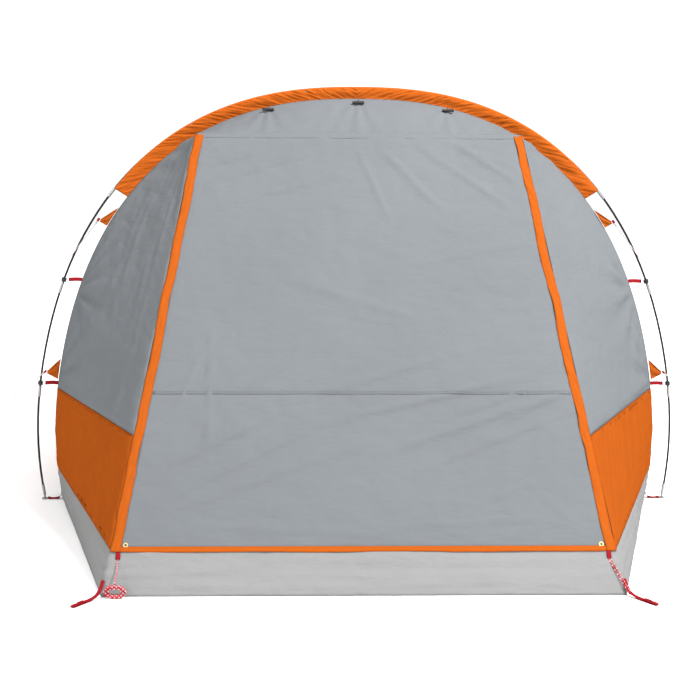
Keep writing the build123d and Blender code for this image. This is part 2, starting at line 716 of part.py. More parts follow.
def cord_tube(points, label, radii=None):
    """A tube along straight runs joined by tangent arcs."""
    if radii is None:
        radii = []
        for a, b, c in zip(points, points[1:], points[2:]):
            before = Vector(*b) - Vector(*a)
            after = Vector(*c) - Vector(*b)
            turn = math.radians(before.get_angle(after))
            radii.append(0.45 * min(before.length, after.length) / math.tan(turn / 2))
    path = FilletPolyline(*points, radius=radii)
    start = Plane(origin=path @ 0, z_dir=path % 0)
    tube = sweep(start * Circle(awning_cord_diameter / 2), path=path)
    area = math.pi * awning_cord_diameter ** 2 / 4
    print(f"{label}: {path.length:.1f} mm, radii {[round(r, 1) for r in radii]}, "
          f"volume over section {tube.volume / area:.1f}")
    return tube


hank_x = -sill_loop_x
hank_y = front_edge_y - hank_depth / 2 - hank_clearance * 3
left_route = [
    (hank_x, cord_top_y, cord_top_z),
    (hank_x - 2.0, cord_top_y - 9.0, cord_top_z - 9.5),
    (hank_x - 1.0, cord_top_y - 19.5, cord_top_z - 17.5),
    (hank_x + 1.0, cord_top_y - 31.5, cord_top_z - 24.0),
    (hank_x + 1.5, hank_y + 13.0, hank_height + 18.5),
    (hank_x + 0.5, hank_y + 2.0, hank_height + 11.5),
    (hank_x + 0.5, hank_y + 2.0, hank_height),
]
save("awning_cord_left", cord_tube(left_route, "left sill cord"))
hank = Box(hank_length, hank_depth, hank_height, align=(Align.CENTER, Align.CENTER, Align.MIN))
hank = fillet(hank.edges().filter_by(Axis.Y), hank_height * 0.3)
save("awning_hank_left", Pos(hank_x, hank_y, 0) * hank)

corner_at = Vector(front.half_at(0) + zip_out + 9.0, front_edge_y - 13.0, 7.5)
right_top = Vector(sill_loop_x, cord_top_y, cord_top_z)
run_across = (corner_at - right_top).cross(Vector(0, -1, front.lean)).normalized() * (cord_pair_gap / 2)
right_route = [
    right_top - run_across,
    corner_at - run_across,
    corner_at + run_across,
    right_top + run_across,
]
turn_radius = cord_pair_gap * 0.48
save("awning_cord_right", cord_tube(right_route, "right sill cord", [turn_radius, turn_radius]))
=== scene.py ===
"""Looks of a three-hoop tunnel tent, laid out as an add-on and run as a script."""

import math

import bmesh
import bpy
from bpy.props import FloatProperty, FloatVectorProperty, IntProperty, PointerProperty
from mathutils import Matrix, Vector, noise


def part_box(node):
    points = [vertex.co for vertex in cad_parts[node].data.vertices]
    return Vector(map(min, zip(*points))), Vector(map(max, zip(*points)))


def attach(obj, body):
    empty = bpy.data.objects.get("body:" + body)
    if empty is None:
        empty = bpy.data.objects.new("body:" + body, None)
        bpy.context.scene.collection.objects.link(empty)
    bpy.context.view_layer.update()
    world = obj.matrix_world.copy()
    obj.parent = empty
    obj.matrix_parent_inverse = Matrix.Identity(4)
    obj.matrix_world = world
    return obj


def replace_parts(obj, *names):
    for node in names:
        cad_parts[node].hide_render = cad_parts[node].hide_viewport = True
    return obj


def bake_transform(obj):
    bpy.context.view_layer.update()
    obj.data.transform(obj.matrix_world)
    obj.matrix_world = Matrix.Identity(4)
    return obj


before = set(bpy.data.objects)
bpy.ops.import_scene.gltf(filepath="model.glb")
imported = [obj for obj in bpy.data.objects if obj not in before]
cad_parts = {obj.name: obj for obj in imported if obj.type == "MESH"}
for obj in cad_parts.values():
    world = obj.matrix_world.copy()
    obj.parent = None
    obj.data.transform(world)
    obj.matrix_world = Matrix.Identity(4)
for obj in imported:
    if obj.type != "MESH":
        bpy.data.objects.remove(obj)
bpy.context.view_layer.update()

bl_info = {
    "name": "Tunnel tent",
    "version": (1, 0, 0),
    "blender": (4, 5, 0),
    "location": "View3D > Sidebar > Tent",
    "description": "Makes the cloth, cords and finishes of a three-hoop tunnel tent",
    "category": "Add Mesh",
}


def middle(node):
    """Middle of a node's box."""
    low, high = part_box(node)
    return (Vector(low) + Vector(high)) / 2


# Sizes of the frame that the cloth is cut to, metres.
ARCH_POWER = 2.4
FOOT_TUCK = 0.032
TUCK_HEIGHT = 0.42
HOOP_NAMES = ("front", "middle", "rear")
HOOP_Y = tuple(middle(f"{name}_pole_rods").y for name in HOOP_NAMES)
ROD_RADIUS = 0.00425
HOOP_HALF = tuple(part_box(f"{name}_pole_rods")[1][0] - ROD_RADIUS for name in HOOP_NAMES)
HOOP_TOP = tuple(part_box(f"{name}_pole_rods")[1][2] - ROD_RADIUS for name in HOOP_NAMES)
FLY_SIDE_GAP = 0.060
FLY_TOP_GAP = 0.036
SLEEVE_END = 1.262
SLEEVE_RISE = 0.009
SLEEVE_HALF_DEPTH = 0.008
SLEEVE_SEAT = -0.0015
STRIP_TOP = 0.130
BAND_TOP = 0.465
SEAM = 0.0004
ZIP_OUT = 0.025
FLAP_WIDTH = 0.033
FLAP_OVERLAP = 0.009
VENT_WIDTH = 0.420
VENT_HEIGHT = 0.190
VENT_Z = 0.880
VENT_MARGIN = 0.020
CABIN_FRONT = middle("cabin_door").y - 0.001
CABIN_REAR = HOOP_Y[2] - 0.030
CABIN_INSET = 0.045
CABIN_DOOR_HALF = 0.400
CABIN_DOOR_TOP = 1.330
CABIN_DOOR_SILL = 0.070
CABIN_CORNER = 0.120
CLIP_HEIGHTS = (0.485, 0.905)
GUY_HEIGHTS = (1.156, 0.545)
GUY_Y = middle("guy_tabs").y
TAB_HALF_BASE = 0.043
TAB_REACH = 0.050
TAB_DROP = 0.015
PEG_LOOP_REACH = 0.105
PEG_LOOP_SPLAY = 0.084
SILL_LOOP_X = 0.812
DOOR_SEAM_Z = 0.597
TOGGLE_X = 0.350
SIDES = ((-1, "left"), (1, "right"))


# ---- Settings ----
class TentSizes(bpy.types.PropertyGroup):
    cloth: FloatProperty(name="Cloth", description="Thickness of the fly as shown", default=0.0009,
                         unit="LENGTH")
    sag: FloatProperty(name="Sag", description="How far the roof sinks between hoops", default=0.016,
                       unit="LENGTH")
    crumple: FloatProperty(name="Crumple", description="Depth of the fine creases", default=0.0021,
                           unit="LENGTH")
    cord: FloatProperty(name="Cord", description="Diameter of the sill cords", default=0.0034,
                        unit="LENGTH")
    guyline: FloatProperty(name="Guyline", description="Diameter of the guylines", default=0.0032,
                           unit="LENGTH")
    webbing: FloatProperty(name="Webbing", description="Width of the webbing", default=0.015, unit="LENGTH")
    density: FloatProperty(name="Mesh density", description="Cloth faces per metre", default=85.0, min=20.0,
                           max=140.0)


class TentColours(bpy.types.PropertyGroup):
    grey: FloatVectorProperty(name="Grey fly", description="Main panels", subtype="COLOR",
                              default=(0.112, 0.119, 0.126))
    orange: FloatVectorProperty(name="Orange", description="Sleeves and lower panels", subtype="COLOR",
                                default=(0.235, 0.050, 0.006))
    ground: FloatVectorProperty(name="Groundsheet", description="Pale tray", subtype="COLOR",
                                default=(0.180, 0.181, 0.180))
    webbing: FloatVectorProperty(name="Webbing", description="Straps and loops", subtype="COLOR",
                                 default=(0.240, 0.004, 0.009))
    cabin: FloatVectorProperty(name="Cabin", description="Inner tent", subtype="COLOR",
                               default=(0.200, 0.195, 0.178))


# ---- Arch and plane geometry ----
def arch_xz(half, top, angle):
    """A point of a hoop-shaped arch; angle 0 is the right foot."""
    cosine = math.cos(angle)
    side = 1.0 if cosine >= 0 else -1.0
    x = half * abs(cosine) ** (2 / ARCH_POWER)
    z = top * max(math.sin(angle), 0.0) ** (2 / ARCH_POWER)
    if z < TUCK_HEIGHT:
        x -= FOOT_TUCK * (1 - z / TUCK_HEIGHT) ** 2
    return side * x, z


def angle_at_z(top, z):
    return math.asin(min(z / top, 1.0) ** (ARCH_POWER / 2))


def angle_at_x(half, x):
    return math.acos((x / half) ** (ARCH_POWER / 2))


def arch_out(half, top, angle, out):
    """A point of the arch moved along its outward normal."""
    low, high = max(angle - 0.004, 0.0005), min(angle + 0.004, math.pi - 0.0005)
    x0, z0 = arch_xz(half, top, low)
    x1, z1 = arch_xz(half, top, high)
    length = math.hypot(x1 - x0, z1 - z0)
    x, z = arch_xz(half, top, angle)
    return x + out * (z1 - z0) / length, z - out * (x1 - x0) / length


def arch_run(half, top, start, end, out=0.0, count=240):
    """The arch as a function of the share of its length, from one angle to another."""
    points = [arch_out(half, top, start + (end - start) * i / count, out) for i in range(count + 1)]
    marks = [0.0]
    for a, b in zip(points, points[1:]):
        marks.append(marks[-1] + math.dist(a, b))

    def at(share):
        target = min(max(share, 0.0), 1.0) * marks[-1]
        low, high = 0, count
        while high - low > 1:
            mid = (low + high) // 2
            if marks[mid] <= target:
                low = mid
            else:
                high = mid
        part = (target - marks[low]) / max(marks[high] - marks[low], 1e-9)
        return (points[low][0] + (points[high][0] - points[low][0]) * part,
                points[low][1] + (points[high][1] - points[low][1]) * part)

    return at


def fly(hoop):
    """Half width and height of the fly inside a hoop."""
    return HOOP_HALF[hoop] - FLY_SIDE_GAP, HOOP_TOP[hoop] - FLY_TOP_GAP


class SlopingEnd:
    """One sloping end: a flat middle, leaning out from its hoop to the ground."""

    def __init__(self, hoop, facing, reach, top_reach, top, top_half, bottom_half, out):
        self.hoop, self.facing, self.reach, self.top = hoop, facing, reach, top
        self.top_half, self.bottom_half, self.out = top_half, bottom_half, out
        self.lean = (reach - top_reach) / top
        self.half, self.crown = fly(hoop)
        self.up = Vector((0, -facing * self.lean, 1)).normalized()
        self.normal = Vector((0, facing, self.lean)).normalized()
        self.across = Vector((-facing, 0, 0))
        self.origin = Vector((0, self.y_at(top), top))

    def y_at(self, z):
        return HOOP_Y[self.hoop] + self.facing * (self.reach - self.lean * z)

    def half_at(self, z):
        return self.top_half + (self.bottom_half - self.top_half) * (self.top - z) / self.top

    def rise(self, z):
        """Height z measured along the plane, down from its top edge."""
        return (z - self.top) / self.up.z

    def on(self, x, up, off=0.0):
        """A point of the plane: x across, up along the slope, off its face."""
        return self.origin + self.across * x + self.up * up + self.normal * off

    def outward(self, p):
        return Vector((0.35 * p.x, self.facing, 0.5))


FRONT = SlopingEnd(0, -1, 1.105, 0.165, 1.478, 0.598, 0.835, ZIP_OUT)
REAR = SlopingEnd(2, 1, 0.560, 0.070, 1.180, 0.520, 0.850, 0.002)


def tunnel_out(p):
    return Vector((p.x, 0, p.z - 0.45))


def smooth(value, low, high):
    t = min(max((value - low) / (high - low), 0.0), 1.0)
    return t * t * (3 - 2 * t)


# ---- Materials ----
def shade(colour, factor):
    return tuple(min(c * factor, 1.0) for c in colour) + (1.0,)


class Surface:
    """A material's node tree, built up in a few calls."""

    def __init__(self, name, roughness, **sockets):
        self.material = bpy.data.materials.new(name)
        self.material.use_nodes = True
        self.tree = self.material.node_tree
        self.shader = self.tree.nodes["Principled BSDF"]
        self.shader.inputs["Roughness"].default_value = roughness
        for socket, value in sockets.items():
            self.shader.inputs[socket.replace("_", " ")].default_value = value
        self.place = self.tree.nodes.new("ShaderNodeTexCoord")
        self.bump = None

    def node(self, kind, **values):
        made = self.tree.nodes.new(kind)
        for key, value in values.items():
            if key in made.inputs:
                made.inputs[key].default_value = value
            else:
                setattr(made, key, value)
        return made

    def link(self, a, b):
        self.tree.links.new(a, b)

    def spread(self, source, stretch=(1, 1, 1), turn=0.0):
        """Texture coordinates, stretched and turned."""
        turned = self.node("ShaderNodeMapping")
        turned.inputs["Scale"].default_value = stretch
        turned.inputs["Rotation"].default_value = (0, 0, turn)
        self.link(self.place.outputs[source], turned.inputs["Vector"])
        return turned.outputs["Vector"]

    def noise(self, vector, scale, detail=2.0, rough=0.5, distort=0.0):
        made = self.node("ShaderNodeTexNoise", Scale=scale, Detail=detail, Roughness=rough,
                         Distortion=distort)
        self.link(vector, made.inputs["Vector"])
        return made.outputs["Fac"]

    def wave(self, vector, scale, direction="X", profile="SIN", distort=0.0):
        made = self.node("ShaderNodeTexWave", Scale=scale, Distortion=distort)
        made.bands_direction = direction
        made.wave_profile = profile
        self.link(vector, made.inputs["Vector"])
        return made.outputs["Fac"]

    def math(self, operation, a, b=0.0):
        made = self.node("ShaderNodeMath")
        made.operation = operation
        for socket, value in zip(made.inputs, (a, b)):
            if isinstance(value, (int, float)):
                socket.default_value = value
            else:
                self.link(value, socket)
        return made.outputs[0]

    def blend(self, share, a, b):
        """A colour between two, by a share from 0 to 1."""
        made = self.node("ShaderNodeMix")
        made.data_type = "RGBA"
        self.link(share, made.inputs["Factor"])
        for socket, value in ((made.inputs[6], a), (made.inputs[7], b)):
            if isinstance(value, tuple):
                socket.default_value = value
            else:
                self.link(value, socket)
        return made.outputs[2]

    def raised(self, height, distance, strength=1.0):
        """Adds a relief on top of what is there."""
        made = self.node("ShaderNodeBump", Distance=distance, Strength=strength)
        self.link(height, made.inputs["Height"])
        if self.bump is not None:
            self.link(self.bump, made.inputs["Normal"])
        self.bump = made.outputs["Normal"]
        self.link(self.bump, self.shader.inputs["Normal"])

    def colour(self, value):
        if isinstance(value, tuple):
            self.shader.inputs["Base Color"].default_value = value
        else:
            self.link(value, self.shader.inputs["Base Color"])


def cloth_surface(name, colour, roughness=0.55, stitch_rows=(), crinkle=1.0, thread=1500.0, dirt=0.0):
    """Coated taffeta: plain weave, fine crinkles, slow changes of tint, rows of stitches."""
    made = Surface(name, roughness, Specular_IOR_Level=0.0, IOR=1.30)
    objects, own = made.spread("Object"), made.spread("UV")
    slow = made.noise(objects, 2.3, 3.0)
    fine = made.noise(objects, 46.0, 4.0, 0.55)
    tint = made.blend(slow, shade(colour, 0.93), shade(colour, 1.07))
    tint = made.blend(made.math("MULTIPLY", fine, 0.22), tint, shade(colour, 0.80))
    if dirt:
        worn = made.math("MULTIPLY", made.noise(objects, 9.0, 6.0, 0.7), dirt)
        tint = made.blend(worn, tint, shade(colour, 0.72))
    slant = made.noise(made.spread("Object", (0.9, 0.9, 2.6), 0.4), 9.0, 3.0, 0.5, 0.25)
    made.raised(slant, 0.010 * crinkle, 0.55)
    made.raised(fine, 0.0016 * crinkle, 0.45)
    weave = made.math("MULTIPLY", made.wave(own, thread / 6.283, "X"), made.wave(own, thread / 6.283, "Y"))
    made.raised(weave, 0.00008, 0.35)
    if stitch_rows:
        part = made.node("ShaderNodeSeparateXYZ")
        made.link(own, part.inputs[0])
        dash = made.math("LESS_THAN",
                         made.math("FRACT", made.math("MULTIPLY", part.outputs[0], 1 / 0.0042)), 0.68)
        rows = None
        for across in stitch_rows:
            near = made.math("ABSOLUTE", made.math("SUBTRACT", part.outputs[1], across))
            row = made.math("LESS_THAN", near, 0.0007)
            rows = row if rows is None else made.math("MAXIMUM", rows, row)
        stitch = made.math("MULTIPLY", rows, dash)
        tint = made.blend(made.math("MULTIPLY", stitch, 0.55), tint, shade(colour, 0.55))
        made.raised(rows, -0.0006, 0.6)
        made.raised(stitch, 0.0008, 0.8)
    made.colour(tint)
    return made.material


def webbing_surface(name, colour, pitch=0.0016):
    """Woven webbing: ribs across, a herringbone along, a little fuzz."""
    made = Surface(name, 0.75, Specular_IOR_Level=0.15, IOR=1.40)
    own, objects = made.spread("UV"), made.spread("Object")
    ribs = made.wave(own, 1 / (pitch * 1.0) / 6.283 * 3.0, "X")
    twill = made.wave(own, 1 / pitch / 6.283 * 3.0, "DIAGONAL")
    weave = made.math("MULTIPLY", ribs, twill)
    tint = made.blend(weave, shade(colour, 0.68), shade(colour, 1.15))
    tint = made.blend(made.math("MULTIPLY", made.noise(objects, 60.0, 4.0), 0.3), tint, shade(colour, 0.6))
    made.colour(tint)
    made.raised(weave, 0.0004, 0.7)
    made.raised(made.noise(objects, 900.0, 2.0), 0.0002, 0.4)
    return made.material


def cord_surface(name, ground, fleck, share, pitch=0.0070):
    """Braided cord with flecks of a second yarn."""
    made = Surface(name, 0.70, Specular_IOR_Level=0.15, IOR=1.40)
    objects = made.spread("Object")
    one = made.wave(objects, 0.314 / pitch, "DIAGONAL", "TRI", 0.4)
    other = made.wave(made.spread("Object", (-1, 1, 1)), 0.314 / pitch, "DIAGONAL", "TRI", 0.4)
    braid = made.math("MULTIPLY", one, other)
    made.colour(made.blend(made.math("GREATER_THAN", braid, share), shade(ground, 1.0), shade(fleck, 1.0)))
    made.raised(braid, 0.0006, 0.6)
    made.raised(made.noise(objects, 1400.0, 1.0), 0.0001, 0.4)
    return made.material


def moulded_surface(name, colour, roughness=0.42, metallic=0.0, scratch=0.25):
    """Moulded or drawn goods: fine grain, worn gloss and faint scratches."""
    made = Surface(name, roughness, Metallic=metallic, Specular_IOR_Level=0.5 if metallic else 0.18)
    objects = made.spread("Object")
    grain = made.noise(objects, 420.0, 3.0, 0.6)
    wear = made.noise(objects, 24.0, 5.0, 0.6)
    tint = made.blend(wear, shade(colour, 0.78), shade(colour, 1.22))
    tint = made.blend(made.math("MULTIPLY", made.math("GREATER_THAN", grain, 0.62), 0.18), tint,
                      shade(colour, 1.5))
    made.colour(tint)
    rough = made.math("ADD", made.math("MULTIPLY", wear, scratch), roughness - scratch / 2)
    made.link(rough, made.shader.inputs["Roughness"])
    made.raised(grain, 0.00006, 0.5)
    made.raised(made.noise(made.spread("Object", (1, 1, 0.08)), 260.0, 2.0), 0.00005, 0.4)
    return made.material


def net_surface(name, colour):
    """Dark netting: a fine square mesh, read from the piece's own map."""
    made = Surface(name, 0.8, IOR=1.45)
    own = made.spread("UV")
    holes = made.math("MULTIPLY", made.wave(own, 1 / 0.0016 / 6.283 * 3.1416, "X"),
                      made.wave(own, 1 / 0.0016 / 6.283 * 3.1416, "Y"))
    made.colour(made.blend(holes, shade(colour, 1.6), shade(colour, 0.25)))
    made.raised(holes, -0.0004, 0.8)
    return made.material


FINISHES = {}


def finish_of(slot):
    """The material of a slot, made the first time it is asked for."""
    if slot not in FINISHES:
        colours = bpy.context.scene.tent_colours
        grey, orange = tuple(colours.grey), tuple(colours.orange)
        red, ground, cabin = tuple(colours.webbing), tuple(colours.ground), tuple(colours.cabin)
        makers = {
            "fly_grey": lambda: cloth_surface("grey_taffeta", grey, 0.50),
            "fly_orange": lambda: cloth_surface("orange_taffeta", orange, 0.48, crinkle=1.1),
            # Painted light: the sleeve cloth is the same orange fabric made 1.35 times lighter, for light
            # shining through the thin sleeve and falling on it from above.
            "sleeve": lambda: cloth_surface("orange_sleeve_painted_light", shade(orange, 1.35)[:3], 0.50, (), 1.2),
            "tape_grey": lambda: cloth_surface("grey_seam", shade(grey, 0.93)[:3], 0.50, (0.0025, 0.0095),
                                               0.5),
            "tape_orange": lambda: cloth_surface("orange_seam", shade(orange, 0.9)[:3], 0.50,
                                                 (0.0025, 0.0095), 0.5),
            # Painted light: storm flaps and guy tabs are the same orange fabric made 1.15 times lighter,
            # for light passing through the thin cloth.
            "flap": lambda: cloth_surface("orange_flap_painted_light", shade(orange, 1.15)[:3], 0.50, (0.003, 0.030),
                                          0.9),
            # Painted light: hems and sleeve cuffs are the same orange fabric made 1.2 times lighter, for
            # light passing through the thin cloth.
            "hem": lambda: cloth_surface("orange_hem_painted_light", shade(orange, 1.2)[:3], 0.50, (0.003, 0.014), 0.9),
            "ground_sheet": lambda: cloth_surface("pale_tarpaulin", ground, 0.42, (), 1.3, 900.0, 0.35),
            "cabin_cloth": lambda: cloth_surface("pale_lining", cabin, 0.75, (), 0.7),
            "zip_tape": lambda: cloth_surface("zip_tape", (0.045, 0.047, 0.050), 0.7, (0.0035, 0.0165), 0.2,
                                              2600.0),
            "zip_coil": lambda: moulded_surface("zip_coil", (0.050, 0.052, 0.056), 0.35),
            "mesh_dark": lambda: net_surface("vent_net", (0.030, 0.032, 0.034)),
            "webbing_red": lambda: webbing_surface("red_webbing", red),
            "elastic": lambda: webbing_surface("red_elastic", shade(red, 0.6)[:3], 0.0011),
            "guy_cord": lambda: cord_surface("guy_cord", (0.36, 0.34, 0.32), (0.26, 0.02, 0.02), 0.62),
            "sill_cord": lambda: cord_surface("sill_cord", (0.34, 0.010, 0.020), (0.40, 0.36, 0.36), 0.36),
            "pole_rod": lambda: moulded_surface("black_rod", (0.006, 0.006, 0.007), 0.50),
            "ferrule": lambda: moulded_surface("plated_steel", (0.30, 0.30, 0.30), 0.42, 0.9),
            "plastic_black": lambda: moulded_surface("black_nylon", (0.020, 0.020, 0.021), 0.45),
            "eyelet_brass": lambda: moulded_surface("brass", (0.72, 0.56, 0.26), 0.28, 0.95),
            "peg_steel": lambda: moulded_surface("galvanised_steel", (0.56, 0.57, 0.58), 0.36, 0.9),
        }
        FINISHES[slot] = makers[slot]()
    return FINISHES[slot]


def put_on(piece, slot, finish=None):
    """Gives a piece its material: that of its finish, or else that of its slot."""
    piece.data.materials.clear()
    piece.data.materials.append(finish_of(finish or slot))


# ---- Cloth ----
def fold(p, scale, seed=0.0):
    """Ridged noise: sharp crests and soft valleys, from -1 to 1."""
    q = Vector((p.x * scale + seed, p.y * scale - seed, p.z * scale + 0.7 * seed))
    q += noise.noise_vector(q * 0.7) * 0.35
    return 1.0 - 2.4 * abs(noise.noise(q))


def crumpled(depth, seed, long=None):
    """A displacement of fine random creases; long adds streaks along one direction."""

    def at(u, v, p):
        d = depth * (0.8 * fold(p, 6.5, seed) + 0.55 * fold(p, 15.0,
                                                            seed + 9) + 0.25 * noise.noise(p * 42.0))
        if long:
            along, across, size = long
            q = Vector((u * along, v * across, seed))
            d += size * (0.7 - 1.6 * abs(noise.noise(q + Vector((noise.noise(q * 0.6), 0, 0)))))
        return d

    return at


def crease(p, a, b, width, depth):
    """A single long crease between two points, fading at its ends."""
    run = b - a
    t = (p - a).dot(run) / run.length_squared
    if not 0.0 < t < 1.0:
        return 0.0
    away = (p - a - run * t).length / width
    if away > 3.0:
        return 0.0
    return depth * math.sin(math.pi * t) ** 0.7 * math.exp(-away * away) * (1.0 - 0.5 * away)


def cloth_sheet(name, surface, out, wrinkle=None, fade=0.03, thickness=None, size=None, closed=False,
                drop=None):
    """A sheet of cloth over a surface given by two shares from 0 to 1, with creases and a thickness."""
    sizes = bpy.context.scene.tent_sizes
    across = sum((surface((i + 1) / 24, 0.5) - surface(i / 24, 0.5)).length for i in range(24))
    along = sum((surface(0.5, (i + 1) / 24) - surface(0.5, i / 24)).length for i in range(24))
    columns, rows = size or (max(3, round(across * sizes.density)), max(3, round(along * sizes.density)))
    bm = bmesh.new()
    layer = bm.loops.layers.uv.new("UVMap")
    bmesh.ops.create_grid(bm, x_segments=columns, y_segments=rows, size=0.5)
    bm.verts.index_update()
    shares = [(v.co.x + 0.5, v.co.y + 0.5) for v in bm.verts]
    for face in bm.faces:
        face.smooth = True
        for loop in face.loops:
            u, v = shares[loop.vert.index]
            loop[layer].uv = (u * across, v * along)
    for vert, (u, v) in zip(bm.verts, shares):
        vert.co = surface(u, v)
    if drop:
        gone = [f for f in bm.faces if drop(f.calc_center_median())]
        bmesh.ops.delete(bm, geom=gone, context="FACES")
    bm.normal_update()
    if sum(f.normal.dot(out(f.calc_center_median())) for f in bm.faces) < 0:
        bmesh.ops.reverse_faces(bm, faces=bm.faces)
    bm.normal_update()
    area = sum(f.calc_area() for f in bm.faces)
    if wrinkle and not drop:
        shifts = []
        for vert, (u, v) in zip(bm.verts, shares):
            near = min(u * across, (1 - u) * across, v * along, (1 - v) * along) / fade
            shifts.append(vert.normal * (wrinkle(u, v, vert.co) * smooth(near, 0.0, 1.0)))
        for vert, shift in zip(bm.verts, shifts):
            vert.co += shift
    if closed:
        bmesh.ops.remove_doubles(bm, verts=bm.verts, dist=0.00002)
        bmesh.ops.recalc_face_normals(bm, faces=bm.faces)
    mesh = bpy.data.meshes.new(name)
    bm.to_mesh(mesh)
    bm.free()
    piece = bpy.data.objects.new(name, mesh)
    bpy.context.collection.objects.link(piece)
    if not closed:
        wall = piece.modifiers.new("thickness", "SOLIDIFY")
        wall.thickness = sizes.cloth if thickness is None else thickness
        wall.offset = -1.0
    widest = max(sum((surface((i + 1) / 12, k / 4) - surface(i / 12, k / 4)).length for i in range(12))
                 for k in range(5))
    longest = max(sum((surface(k / 4, (i + 1) / 12) - surface(k / 4, i / 12)).length for i in range(12))
                  for k in range(5))
    piece["flat"] = (widest, longest, min(area, widest * longest))
    return piece


def hang(piece, slot, body="tent", nodes=(), finish=None):
    """Finishes a sheet: its material, its body, and the nodes it stands for."""
    put_on(piece, slot, finish)
    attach(piece, body)
    if nodes:
        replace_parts(piece, *nodes)
    return piece


def tape(name, surface, out, low, high, slot="fly_grey", finish="tape_grey", body="tent", lift=0.0007,
         thickness=0.0006):
    """A stitched seam tape over part of a surface, between two pairs of shares, its long side first."""
    step = 0.002

    def raised(u, v):
        s = low[0] + (high[0] - low[0]) * u
        t = low[1] + (high[1] - low[1]) * v
        p = surface(s, t)
        du = surface(min(s + step, 1), t) - surface(max(s - step, 0), t)
        dv = surface(s, min(t + step, 1)) - surface(s, max(t - step, 0))
        normal = du.cross(dv).normalized()
        if normal.dot(out(p)) < 0:
            normal.negate()
        return p + normal * lift

    length = sum((raised((i + 1) / 12, 0.5) - raised(i / 12, 0.5)).length for i in range(12))
    piece = cloth_sheet(name, raised, out, thickness=thickness, size=(max(8, round(length * 70)), 3))
    return hang(piece, slot, body, finish=finish)


def strap(name, path, across, width, thickness=0.0016):
    """Flat webbing along a path of points, held across a direction."""
    count = len(path) - 1

    def at(u, v):
        place = u * count
        i = min(int(place), count - 1)
        f = place - i
        before, after = path[max(i - 1, 0)], path[min(i + 2, count)]
        a, b = path[i], path[i + 1]
        p = 0.5 * (2 * a + (b - before) * f + (2 * before - 5 * a + 4 * b - after) * f * f
                   + (3 * a - before - 3 * b + after) * f ** 3)
        side = across if isinstance(across, Vector) else across(u)
        return p + side.normalized() * (width * (v - 0.5))

    length = sum((b - a).length for a, b in zip(path, path[1:]))
    piece = cloth_sheet(name, at, lambda p: Vector((0, 0, 1)), thickness=thickness,
                        size=(max(8, count * 6, round(length * 300)), 4))
    piece.modifiers["thickness"].offset = 0.0
    return hang(piece, "webbing_red")


def join(name, pieces):
    """Several pieces as one object, the first one's settings kept."""
    keep = pieces[0]
    bpy.ops.object.select_all(action="DESELECT")
    for piece in pieces:
        piece.select_set(True)
    bpy.context.view_layer.objects.active = keep
    bpy.ops.object.join()
    keep.name = name
    return keep


def mesh_piece(name, bm, smooth_faces=True):
    """An object from a bmesh, its normals outwards."""
    bmesh.ops.recalc_face_normals(bm, faces=bm.faces)
    for face in bm.faces:
        face.smooth = smooth_faces
    mesh = bpy.data.meshes.new(name)
    bm.to_mesh(mesh)
    bm.free()
    piece = bpy.data.objects.new(name, mesh)
    bpy.context.collection.objects.link(piece)
    return piece


def turned(normal):
    """A rotation whose z axis is the given normal."""
    return normal.to_track_quat("Z", "Y").to_matrix().to_4x4()


def add_ring(bm, centre, axis, radius, wire, turns=24, sides=10):
    """A round ring, made by spinning a small circle, with its axis along a direction."""
    made = bmesh.ops.create_circle(bm, segments=sides, radius=wire)
    place = Matrix.Translation((radius, 0, 0)) @ Matrix.Rotation(math.pi / 2, 4, "X")
    bmesh.ops.transform(bm, matrix=place, verts=made["verts"])
    edges = list({e for v in made["verts"] for e in v.link_edges})
    spun = bmesh.ops.spin(bm, geom=made["verts"] + edges, cent=(0, 0, 0), axis=(0, 0, 1), angle=2 * math.pi,
                          steps=turns, use_merge=True)
    verts = {v for v in made["verts"] if v.is_valid} | {v for v in spun["geom_last"] if isinstance(v,
            bmesh.types.BMVert)}
    reach, grown = set(verts), list(verts)
    while grown:
        for edge in grown.pop().link_edges:
            for vert in edge.verts:
                if vert not in reach:
                    reach.add(vert)
                    grown.append(vert)
    bmesh.ops.transform(bm, matrix=Matrix.Translation(centre) @ turned(Vector(axis)), verts=list(reach))


def cord_curve(name, points, diameter):
    """A cord: one smooth spline that the points guide."""
    data = bpy.data.curves.new(name, "CURVE")
    data.dimensions = "3D"
    spline = data.splines.new("NURBS")
    spline.points.add(len(points) - 1)
    for spot, place in zip(spline.points, points):
        spot.co = (*place, 1.0)
    spline.order_u = 3
    spline.use_endpoint_u = True
    data.resolution_u = 8
    data.bevel_depth = diameter / 2
    data.bevel_resolution = 4
    data.use_fill_caps = True
    piece = bpy.data.objects.new(name, data)
    bpy.context.collection.objects.link(piece)
    return piece


def curve_length(piece):
    """Length of a cord's own line."""
    thin = piece.data.copy()
    thin.bevel_depth = 0.0
    bare = bpy.data.objects.new("bare", thin)
    line = bpy.data.meshes.new_from_object(bare)
    total = sum((line.vertices[e.vertices[0]].co - line.vertices[e.vertices[1]].co).length
                for e in line.edges)
    bpy.data.objects.remove(bare)
    bpy.data.meshes.remove(line)
    bpy.data.curves.remove(thin)
    return total


# ---- Cord routes, metres ----
GUY_ROUTES = {
    "upper": (Vector((1.02508, -1.14047, 1.14038)), Vector((1.888, -1.0985, 0.026))),
    "lower": (Vector((1.25723, -1.14055, 0.52939)), Vector((1.832, -1.1765, 0.026))),
}
LEFT_CORD = [
    (-0.8120, -2.16936, 0.10338), (-0.8140, -2.17836, 0.09388), (-0.8130, -2.18886, 0.08588),
    (-0.8110, -2.20086, 0.07938), (-0.8105, -2.2350, 0.0625), (-0.8115, -2.2460, 0.0555),
    (-0.8115, -2.2460, 0.0440),
]
RIGHT_CORD = [
    (0.81526, -2.16854, 0.10467), (0.8660, -2.2363, 0.0193), (0.87226, -2.24468, 0.00879),
    (0.86574, -2.24632, 0.00621), (0.8595, -2.2381, 0.0167), (0.80874, -2.17018, 0.10209),
]


